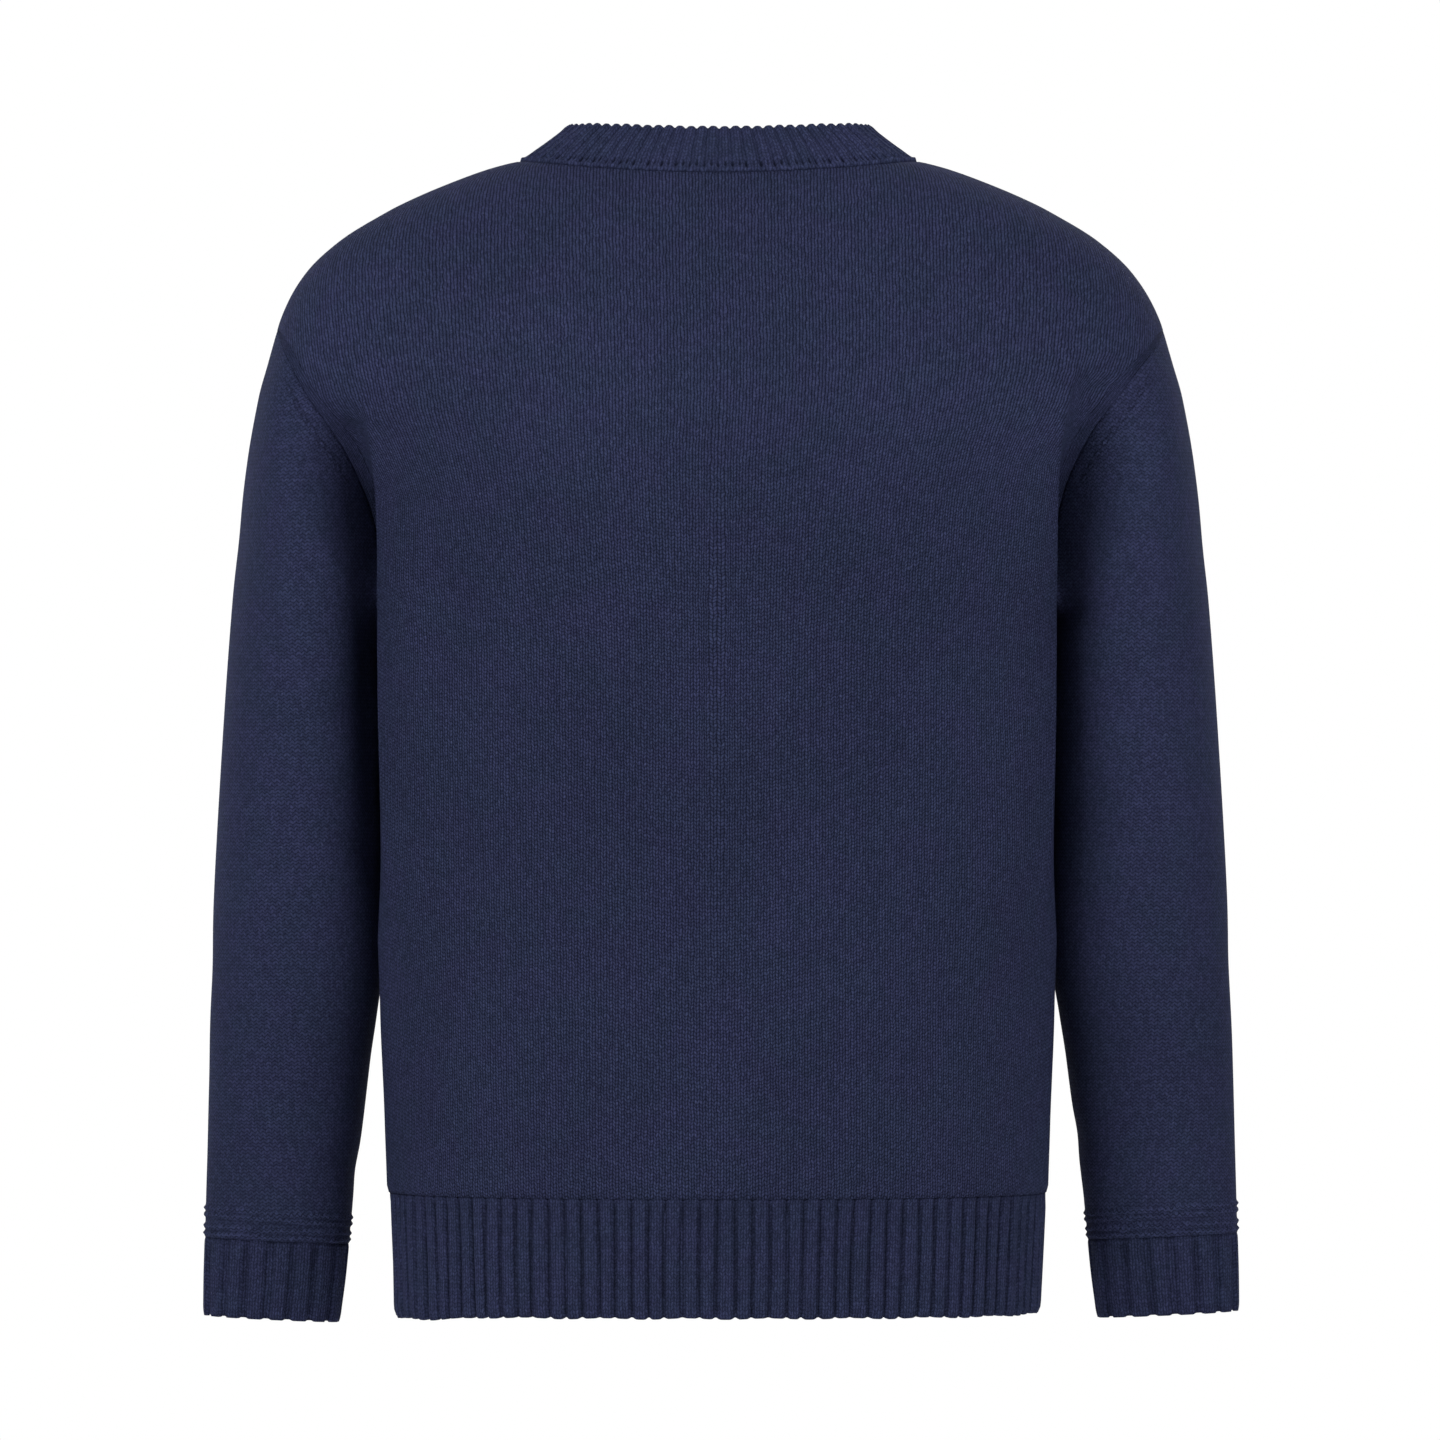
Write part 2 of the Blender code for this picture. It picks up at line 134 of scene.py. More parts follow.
# Beside each armhole the panel laps over the seam in a fold, whose edge runs down the side. lift is
# how far the cloth stands out there over the form, and share how much of a fold there is.
LAP = table("drop edge lift share", """
0.1280 0.2080 0.000 0.00
0.1390 0.2064 0.004 0.30
0.1500 0.2048 0.009 0.95
0.1650 0.2022 0.013 1.00
0.1900 0.1998 0.018 1.00
0.2220 0.1991 0.019 1.00
0.2620 0.1990 0.018 1.00
0.3200 0.1988 0.013 1.00
0.4000 0.1984 0.006 0.60
0.4600 0.1980 0.000 0.00
""")
LAP_LOWER_LEFT = 0.0130  # the left fold starts this much lower, and the right one higher
LAP_FROM, LAP_LOW, LAP_ROUND, LAP_FOOT = 0.120, 0.42, 0.008, 0.040
DIP_PEAK = 27 / 4  # brings t * (1 - t) ** 2 to 1 where it is greatest
LAP_DIP = {LEFT: 0.016, RIGHT: 0.009}  # how deep the cloth dips behind the fold's edge
RIGHT_SEAM_HIGHER = 0.0115  # how much higher the right armhole's seam lies in its middle

# The garment hangs a little unevenly: how far its middle is to the wearer's left.
SWAY = table("drop across", """
0.0000 0.0013
0.0560 0.0010
0.1000 0.0002
0.1270 0.0000
0.1900 0.0018
0.3000 0.0020
0.5000 0.0019
0.6085 0.0017
""")
LEFT_LONGER, LEFT_CUFF_IN = 0.0027, 0.0008  # how much lower and further in the left cuff hangs
RIGHT_CLOSER = 0.0048  # how much closer the right arm hangs below the underarm
INNER_AWAY_LEFT, INNER_AWAY_RIGHT = 0.0024, -0.0010  # how much further from the body each arm hangs
SETTLE_TOP, SETTLE_UNDERARM = 0.050, 0.018
LEVEL_SHARE, LEVEL_POWER = 0.6, 1.3
RIB_LEAN_SIDE, RIB_LEAN_BACK, RIB_LEAN_FRONT = 0.757, 0.70, 0.87
RIB_RISE_BACK, RIB_RISE_SIDE, RIB_RISE_FRONT = 0.0268, 0.0206, 0.0280
# The neck rib swells at the back and front, and is hollow at the sides.
RIB_ROLL, RIB_HOLLOW = 0.0015, 0.0010
HEM_STEP, HEM_TAPER, HEM_LEAN = 0.0020, 0.0026, 0.0005

# ---- the knit ----
WALE, COURSE = 0.0034, 0.0022  # width and height of a stitch
# How much wider the stitches lie across the shoulders, up from which drop, and over how much.
WALES_SPREAD, SPREAD_BELOW, SPREAD_OVER = 1.13, 0.30, 0.20
# Beside the armhole they widen more: up from which drop, by how much, and how gradually.
FAN_LOW, FAN, FAN_EASE = 0.22, 0.48, 0.35
BAND, BAND_WALE = 0.0090, 0.00225  # the strip beside the armhole whose wales run along it

# ---- how finely each piece is divided ----
# Rows are evenly spaced at 1, and closer together at their upper end above 1.
SHOULDER_CLOSER, SIDE_CLOSER, SLEEVE_CLOSER = 1.35, 1.1, 1.12
ROWS_LEVEL_OUT, COLUMNS_GIVE_WAY = 5, 2.5  # as a panel leaves the neck, and beside an armhole
PANEL_HALF_COLUMNS, FOLD_COLUMN, BAND_COLUMNS, FINE_COLUMNS = 92, 76, 12, 600
SHOULDER_ROWS, ARMHOLE_ROWS, SIDE_ROWS = 46, 72, 96
SLEEVE_COLUMNS, SLEEVE_ROWS = 144, 165
RIDGE_ROWS = 44
HEM_RIBS, HEM_RIB_COLUMNS, HEM_ROWS = 52, 12, 22
CUFF_RIBS, CUFF_RIB_COLUMNS, CUFF_ROWS = 16, 16, 20
NECK_RIBS, NECK_RIB_COLUMNS, NECK_ROWS = 84, 14, 40


# ---- what each point carries for its material ----
KNIT_MAP = "knit"
PAINTED_SHADE_ATTRIBUTE = "painted_shade"  # painted shade in troughs, grooves, seams and pits, from 0 to 1 or 2, and painted light on ridges below 0
BESIDE = "beside_seam"  # marks run along the armhole, distance from it, and where the marks are


# ---- reading the tables ----
def along(table, column, drop):
    x = np.array([row.drop for row in table])
    y = np.array([getattr(row, column) for row in table])
    step, rise = np.diff(x), np.diff(y)
    slope = rise / step
    tangent = np.zeros(len(x))
    same_way = slope[:-1] * slope[1:] > 0
    weight = step[:-1] / (step[:-1] + step[1:])
    blend = weight * slope[1:] + (1 - weight) * slope[:-1]
    tangent[1:-1][same_way] = (slope[:-1] * slope[1:])[same_way] / blend[same_way]
    tangent[0], tangent[-1] = slope[0], slope[-1]
    at = np.clip(drop, x[0], x[-1])
    i = np.clip(np.searchsorted(x, at, side="right") - 1, 0, len(step) - 1)
    t = (at - x[i]) / step[i]
    return (
        y[i]
        + rise[i] * t * t * (3 - 2 * t)
        + step[i] * t * (1 - t) * ((1 - t) * tangent[i] - t * tangent[i + 1])
    )


def ease(t):
    t = np.clip(t, 0.0, 1.0)
    return t * t * (3 - 2 * t)


def bell(t):
    return np.exp(-(t**2))


def steps(count):
    return np.linspace(0, 1, count + 1)


def vectors(*parts):
    """An array of vectors from the arrays of their parts."""
    return np.stack(np.broadcast_arrays(*parts), axis=-1)


# ---- the form ----
def outline(face, angle, drop):
    power = 2 / along(TORSO, "square", drop)
    depth = along(TORSO, "back" if face == BACK else "front", drop)
    x = along(TORSO, "half_width", drop) * np.abs(np.sin(angle)) ** power
    y = face * depth * np.abs(np.cos(angle)) ** power
    x = x + along(TORSO, "flare", drop) * bell((y - FLARE_FROM) / FLARE_SPREAD)
    return x * np.sign(angle), y + SIDE_Y


def edge_angle(drop, side):
    shift = ease((drop - SHOULDER_DROP) / 0.030) * ease((UNDERARM_DROP - drop) / 0.060)
    reach = along(ARMHOLE, "reach", drop + (RIGHT_SEAM_HIGHER if side == RIGHT else 0.0) * shift)
    share = reach / along(TORSO, "half_width", drop)
    in_armhole = (drop > SHOULDER_DROP) & (drop < UNDERARM_DROP)
    share = np.where(in_armhole, np.minimum(share, 1.0), 1.0)
    return np.arcsin(share ** (along(TORSO, "square", drop) / 2))


def torso(face, angle, drop):
    x, y = outline(face, angle, drop)
    above_underarm = ease((UNDERARM_DROP - drop) / FOLD_EVENS_OUT)
    fold_drop = drop - FOLD_LOWER_LEFT * np.sign(x) * above_underarm
    past = np.abs(x) - along(FOLD, "line", fold_drop)
    reach = np.where(past < 0, FOLD_INSIDE, FOLD_OUTSIDE)
    tuck = along(FOLD, "depth", fold_drop) * bell(past / reach)
    return vectors(x + along(SWAY, "across", drop), y - face * tuck, -drop)


def lap_level(side, drop):
    """The drop at which LAP is read, because the left fold starts lower than the right one."""
    return drop - LAP_LOWER_LEFT * side * ease((UNDERARM_DROP - drop) / FOLD_EVENS_OUT)


def lap_turn(drop, lap_drop, edge):
    """The angle at which the fold's edge lies."""
    power = along(TORSO, "square", drop)
    share = np.minimum(along(LAP, "edge", lap_drop) / along(TORSO, "half_width", drop), 1.0)
    turn_at = np.minimum(np.arcsin(share ** (power / 2)), np.arccos(LAP_LOW ** (power / 2)))
    return np.minimum(turn_at, edge - 0.10)


def lapped(face, angle, drop):
    """The torso with the fold that laps over the armhole seam and goes on below the underarm."""
    plain_form = torso(face, angle, drop)
    side = np.sign(angle)
    sway = along(SWAY, "across", drop)
    lap_drop = lap_level(side, drop)
    edge = np.where(side > 0, edge_angle(drop, LEFT), edge_angle(drop, RIGHT))
    edge_x = along(LAP, "edge", lap_drop)
    turn_at = lap_turn(drop, lap_drop, edge)

    def over(turned):
        x, y = outline(face, np.maximum(turned, 1e-6), drop)
        corner_x, _ = outline(face, turn_at, drop)
        near = ease((x - LAP_FROM) / (corner_x - LAP_FROM))
        return x + (edge_x - corner_x) * near**4, y + face * along(LAP, "lift", lap_drop) * near

    size = np.abs(angle)
    x, y = over(np.minimum(size, turn_at))
    corner = over(turn_at)
    before = over(turn_at - 1e-3)
    way = unit(vectors(corner[0] - before[0], corner[1] - before[1]))
    seam = torso(face, side * edge, drop)
    t = np.clip((size - turn_at) / np.maximum(edge - turn_at, 1e-6), 0, 1)
    past = size > turn_at
    foot = (0.95, -0.30 * face)
    bent = []
    for k, end in enumerate((np.abs(seam[..., 0] - sway), seam[..., 1])):
        bent.append(
            (1 + 2 * t) * (1 - t) ** 2 * corner[k]
            + t * (1 - t) ** 2 * LAP_ROUND * way[..., k]
            + t * t * (3 - 2 * t) * end
            - t * t * (1 - t) * LAP_FOOT * foot[k]
        )
    dip = np.where(side > 0, LAP_DIP[LEFT], LAP_DIP[RIGHT]) * ease((UNDERARM_DROP - drop) / 0.03)
    bent[1] = bent[1] - face * dip * DIP_PEAK * t * (1 - t) ** 2
    x, y = np.where(past, bent[0], x), np.where(past, bent[1], y)
    folded = vectors(side * x + sway, y, -drop)
    return plain_form + (folded - plain_form) * along(LAP, "share", lap_drop)[..., None]


def neck_seam(face, share):
    turn = np.linspace(0, np.pi / 2, 400)
    deepest = BACK_NECK_DROP if face == BACK else FRONT_NECK_DROP
    drop = deepest * np.cos(turn) ** (BACK_NECK_ROUND if face == BACK else FRONT_NECK_ROUND)
    across = NECK_HALF_WIDTH * np.sin(turn) / along(TORSO, "half_width", drop)
    angle = np.arcsin(np.minimum(across, 1.0) ** (along(TORSO, "square", drop) / 2))
    place = np.interp(np.abs(share), (angle + turn) / np.pi, turn)
    return np.sign(share) * np.interp(place, turn, angle), np.interp(place, turn, drop)


def armhole_drop(turn):
    middle, half = (UNDERARM_DROP + SHOULDER_DROP) / 2, (UNDERARM_DROP - SHOULDER_DROP) / 2
    return middle - half * np.cos(turn)


def tube(turn, drop):
    outer, inner = along(SLEEVE, "outer", drop), along(SLEEVE, "inner", drop)
    power = 2 / SLEEVE_SQUARE
    c, s = np.cos(turn), np.sin(turn)
    x = (outer + inner) / 2 + (outer - inner) / 2 * np.sign(c) * np.abs(c) ** power
    y = SIDE_Y - along(SLEEVE, "forward", drop)
    y = y + along(SLEEVE, "depth", drop) * np.sign(s) * np.abs(s) ** power
    return vectors(x, y, -drop)


def sleeve_drop(turn, share):
    outer = SHOULDER_DROP + (CUFF_SEAM_DROP - SHOULDER_DROP) * share
    lag = (UNDERARM_DROP - SHOULDER_DROP) * np.maximum(1 - share / LEVEL_SHARE, 0) ** LEVEL_POWER
    inner = outer + lag + CUFF_SLOPE * ease(share)
    return (outer + inner) / 2 + (outer - inner) / 2 * np.cos(turn)


def sleeve_point(side, turn, share):
    drop = sleeve_drop(turn, share)
    start = armhole_drop(turn)
    back, front = (torso(face, side * edge_angle(start, side), start) for face in (BACK, FRONT))
    seam = np.where((np.sin(turn) >= 0)[..., None], back, front) * (side, 1, 1)
    low = (1 - np.cos(turn)) / 2
    past = np.clip((drop - start) / (SETTLE_TOP + (SETTLE_UNDERARM - SETTLE_TOP) * low), 0, 1)
    kept = (1 - low) * (1 - ease(past)) + low * (1 - past) ** 2
    return (tube(turn, drop) + kept[..., None] * (seam - tube(turn, start))) * (side, 1, 1)


def unit(vector):
    return vector / np.maximum(np.linalg.norm(vector, axis=-1, keepdims=True), 1e-12)


def seam_facing(side, turn):
    """The way that panel and sleeve both face at the armhole seam, halfway between the two."""
    small = 1e-3
    drop = armhole_drop(turn)
    seam = sleeve_point(side, turn, 0.0)
    onward = sleeve_point(side, turn + small, 0.0) - sleeve_point(side, turn - small, 0.0)
    sleeve_way = unit(np.cross(sleeve_point(side, turn, small) - seam, onward)) * side
    edge = side * edge_angle(drop, side)
    panel_ways = []
    for face in (BACK, FRONT):
        here = lapped(face, edge, drop)
        outward = (here - lapped(face, edge * (1 - small), drop)) * side
        downward = torso(face, edge, drop + small / 10) - here
        panel_ways.append(unit(np.cross(outward, downward)) * face)
    panel_way = np.where((np.sin(turn) >= 0)[..., None], *panel_ways)
    low = ((1 - np.cos(turn)) / 2)[..., None]
    return unit(sleeve_way + panel_way + (0, 0, -0.5) * low)


# ---- grids of points ----
def cross_grid(grid, closed):
    """Unit normals of a grid of points, columns crossed with rows."""
    if closed:
        across = np.roll(grid, -1, axis=1) - np.roll(grid, 1, axis=1)
    else:
        across = np.gradient(grid, axis=1)
    normal = np.cross(np.gradient(grid, axis=0), across)
    return unit(normal)


def lengths(points, axis):
    """Distance run along one axis of a grid of points."""
    step = np.linalg.norm(np.diff(points, axis=axis), axis=-1)
    start = np.zeros_like(np.take(step, [0], axis=axis))
    return np.concatenate([start, np.cumsum(step, axis=axis)], axis=axis)


def look_up(table, rows, columns, row_at, column_at):
    """A table's value between its evenly spaced rows and columns."""
    r = np.clip((row_at - rows[0]) / (rows[1] - rows[0]), 0, len(rows) - 1.001)
    c = np.clip((column_at - columns[0]) / (columns[1] - columns[0]), 0, len(columns) - 1.001)
    i, j = r.astype(int), c.astype(int)
    a, b = r - i, c - j
    return (
        table[i, j] * (1 - a) * (1 - b)
        + table[i + 1, j] * a * (1 - b)
        + table[i, j + 1] * (1 - a) * b
        + table[i + 1, j + 1] * a * b
    )


def stitch_corners(u, v):
    """Four corners of each cell in stitches, in the order its face uses them."""
    grid = vectors(u, v)
    return np.stack([grid[:-1, :-1], grid[:-1, 1:], grid[1:, 1:], grid[1:, :-1]], axis=2)


def wall(
    name, outer, inner, knit, materials, painted_shade, closed=False, flip=False, purl=None, beside=None
):
    """A closed wall of cloth between two grids. knit holds each cell's four corners in stitches."""
    rows, columns = outer.shape[:2]
    cells = columns if closed else columns - 1
    r, c = np.meshgrid(np.arange(rows - 1), np.arange(cells), indexing="ij")
    n = (c + 1) % columns
    here, below = r * columns, (r + 1) * columns
    quads = np.stack([here + c, here + n, below + n, below + c], -1).reshape(-1, 4)
    uv = knit.reshape(-1, 4, 2)
    back = (quads + rows * columns)[:, ::-1]
    back_uv = uv[:, ::-1]
    rims, rim_uv = [], []

    def rim(a, b, uv_a, uv_b):
        rims.append(np.stack([b, a, a + rows * columns, b + rows * columns], -1))
        rim_uv.append(np.stack([uv_b, uv_a, uv_a + 0.5, uv_b + 0.5], 1))

    top = np.arange(cells)
    rim(top, (top + 1) % columns, knit[0, :, 0], knit[0, :, 1])
    low = (rows - 1) * columns + top
    rim((rows - 1) * columns + (top + 1) % columns, low, knit[-1, :, 2], knit[-1, :, 3])
    if not closed:
        side = np.arange(rows - 1) * columns
        rim(side + columns, side, knit[:, 0, 3], knit[:, 0, 0])
        rim(side + columns - 1, side + 2 * columns - 1, knit[:, -1, 1], knit[:, -1, 2])
    faces = np.concatenate([quads, back, *rims])
    all_uv = np.concatenate([uv, back_uv, *rim_uv])
    inside = np.zeros(len(faces), int)
    inside[len(quads) : len(quads) * 2] = 1
    if purl is not None:
        inside[: len(quads)] = np.where(np.broadcast_to(purl, (rows - 1, cells)).ravel(), 1, 0)
    if flip:
        faces, all_uv = faces[:, ::-1], all_uv[:, ::-1]
    points = np.concatenate([outer.reshape(-1, 3), inner.reshape(-1, 3)])
    painted_shades = np.zeros(len(points))
    painted_shades[: rows * columns] = np.broadcast_to(painted_shade, (rows, columns)).ravel()
    piece = make_mesh(name, points, faces, all_uv, materials, inside, painted_shades)
    if beside is not None:
        beside_all = np.zeros((len(points), 3), np.float32)
        beside_all[: rows * columns] = beside.reshape(-1, 3)
        marks = piece.data.attributes.new(BESIDE, "FLOAT_VECTOR", "POINT")
        marks.data.foreach_set("vector", beside_all.ravel())
    return piece


def add_object(name, data):
    thing = bpy.data.objects.new(name, data)
    bpy.context.scene.collection.objects.link(thing)
    return thing


def make_mesh(name, points, faces, uv, materials, slots, painted_shades):
    mesh = bpy.data.meshes.new(name)
    mesh.vertices.add(len(points))
    mesh.vertices.foreach_set("co", points.astype(np.float32).ravel())
    mesh.loops.add(faces.size)
    mesh.loops.foreach_set("vertex_index", np.ascontiguousarray(faces, np.int32).ravel())
    mesh.polygons.add(len(faces))
    starts = np.arange(0, faces.size, faces.shape[1], dtype=np.int32)
    mesh.polygons.foreach_set("loop_start", starts)
    for made in materials:
        mesh.materials.append(made)
    mesh.polygons.foreach_set("material_index", slots.astype(np.int32))
    mesh.update(calc_edges=True)
    layer = mesh.uv_layers.new(name=KNIT_MAP)
    layer.uv.foreach_set("vector", np.ascontiguousarray(uv, np.float32).ravel())
    # Each point's painted shade, and painted light below 0, for the materials.
    troughs = mesh.attributes.new(PAINTED_SHADE_ATTRIBUTE, "FLOAT", "POINT")
    troughs.data.foreach_set("value", painted_shades.astype(np.float32))
    mesh.shade_smooth()
    mesh.validate()
    return add_object(name, mesh)


# ---- materials ----
LOOP_SHARE, DRAWN_LOOP_SHARE = 0.80, 0.42  # how much the gaps between a wale's loops show
LEG_SLANT = 0.60  # rise of a V's leg over half a wale, in courses
NAVY_COLD = (0.0224, 0.0286, 0.0634, 1.0)
NAVY_WARM = (0.0242, 0.0282, 0.0670, 1.0)
NAVY_FLECK = (0.0400, 0.0470, 0.0950, 1.0)
# The slanting marks on a sleeve: their spacing, distance from the seam, width and length.
MARK_SPACING, MARK_OUT, MARK_WIDTH, MARK_LENGTH = 0.0102, 0.0100, 0.0028, 0.0015
# Brightness of the colour where the painted shade is 1, of that where it is 2, and where it is -1,
# which is painted light.
PAINTED_TROUGH_SHADE, PAINTED_DEEP_SHADE, PAINTED_RIDGE_LIGHT = 0.45, 0.40, 1.55
MARK_SLANT, MARK_HEIGHT, MARK_LIGHT, MARK_RIM_SHADE = 0.4, 1.6, 0.75, 0.30
# Heights between which the loops are drawn out, and a knit goes from its low to its high tone; on
# the sleeves the lower tone is painted shade.
DRAWN_LOW, DRAWN_HIGH = -0.26, -0.10
SHADE_LOW, SHADE_HIGH = -0.60, -0.25
# How fine each noise is, per metre, and how far the loops drift, in stitches.
DRIFT_SCALE, FUZZ_SCALE, GRAIN_SCALE, CLOUD_SCALE, HUE_SCALE = 190.0, 1500.0, 1150.0, 9.0, 38.0
DRIFT_ACROSS, DRIFT_UP = 0.50, 1.1
FUZZ_HEIGHT = 0.45  # beside a stitch, which is 1 high


class Value:
    """A number that a material works out, so that sums of it read as sums."""

    def __init__(self, nodes, socket):
        self.nodes, self.socket = nodes, socket


for word, operation in (
    ("add", "ADD"),
    ("sub", "SUBTRACT"),
    ("mul", "MULTIPLY"),
    ("truediv", "DIVIDE"),
    ("pow", "POWER"),
):
    setattr(Value, f"__{word}__", lambda a, b, kind=operation: a.nodes.math(kind, a, b))
    setattr(Value, f"__r{word}__", lambda a, b, kind=operation: a.nodes.math(kind, b, a))
Value.__abs__ = lambda a: a.nodes.math("ABSOLUTE", a)


class Nodes:
    """Short ways to write a node tree."""

    def __init__(self, tree):
        self.tree = tree

    def add(self, kind, **values):
        node = self.tree.nodes.new(kind)
        for key, value in values.items():
            setattr(node, key, value)
        return node

    def plug(self, value, socket):
        if isinstance(value, Value):
            value = value.socket
        if isinstance(value, bpy.types.NodeSocket):
            self.tree.links.new(value, socket)
        else:
            socket.default_value = value

    def math(self, operation, *values):
        node = self.add("ShaderNodeMath", operation=operation)
        for value, socket in zip((*values, 0.0, 0.0), node.inputs):
            self.plug(value, socket)
        return Value(self, node.outputs[0])

    def ramp(self, value, low, high, to_low=0.0, to_high=1.0):
        node = self.add("ShaderNodeMapRange", interpolation_type="SMOOTHSTEP")
        keys = ("Value", "From Min", "From Max", "To Min", "To Max")
        for given, key in zip((value, low, high, to_low, to_high), keys):
            self.plug(given, node.inputs[key])
        return Value(self, node.outputs["Result"])

    def noise(self, vector, scale, detail=2.0, roughness=0.5, output="Fac"):
        node = self.add("ShaderNodeTexNoise", noise_dimensions="3D")
        keys = ("Vector", "Scale", "Detail", "Roughness")
        for given, key in zip((vector, scale, detail, roughness), keys):
            self.plug(given, node.inputs[key])
        return Value(self, node.outputs[output])

    def split(self, vector, kind="ShaderNodeSeparateXYZ"):
        node = self.add(kind)
        self.plug(vector, node.inputs[0])
        return [Value(self, socket) for socket in node.outputs]

    def join(self, x, y):
        node = self.add("ShaderNodeCombineXYZ")
        self.plug(x, node.inputs[0])
        self.plug(y, node.inputs[1])
        return node.outputs[0]

    def stretch(self, vector, scale):
        node = self.add("ShaderNodeMapping")
        self.plug(vector, node.inputs["Vector"])
        node.inputs["Scale"].default_value = scale
        return node.outputs["Vector"]

    def mix(self, share, a, b):
        node = self.add("ShaderNodeMix", data_type="RGBA")
        colours = [s for s in node.inputs if s.type == "RGBA"]
        self.plug(share, node.inputs[0])
        self.plug(a, colours[0])
        self.plug(b, colours[1])
        return [s for s in node.outputs if s.type == "RGBA"][0]


def new_material(name):
    made = bpy.data.materials.new(name)
    made.use_nodes = True
    return made, made.node_tree.nodes["Principled BSDF"].inputs


def stitches(n, u, v, place, wales, drawn):
    """Height of plain knit: a wale is a column of Vs, and each leg of a V is a round yarn."""
    across = abs(n.math("FRACT", u) - 0.5) * 2.0
    lean = v - across * LEG_SLANT
    leg = abs(n.math("SINE", lean * np.pi)) ** 0.8
    loops = LOOP_SHARE
    if drawn:
        # Across the shoulders the weight opens the wales and draws the loops into lines.
        loops = n.ramp(n.split(place)[2], DRAWN_LOW, DRAWN_HIGH, LOOP_SHARE, DRAWN_LOOP_SHARE)
    leg = 1.0 - loops * (1.0 - leg)
    from_middle = abs(across * 2.0 - 1.0)
    swell = n.math("MAXIMUM", 1.0 - from_middle**1.9, 0.0)
    swell = swell**0.8 * (1.14 - across * 0.28)
    swell = 1.0 - wales * (1.0 - swell)
    return leg * swell, n.join(n.math("FLOOR", u * 2.0), n.math("FLOOR", lean))


def purls(n, u, v):
    """Height of the knit's wrong side: rows of small overlapping arches."""
    level = v + n.math("SINE", u * (2 * np.pi)) * 0.28
    row = abs(n.math("SINE", level * np.pi))
    return row**0.8, n.join(n.math("FLOOR", u * 2.0), n.math("FLOOR", level))


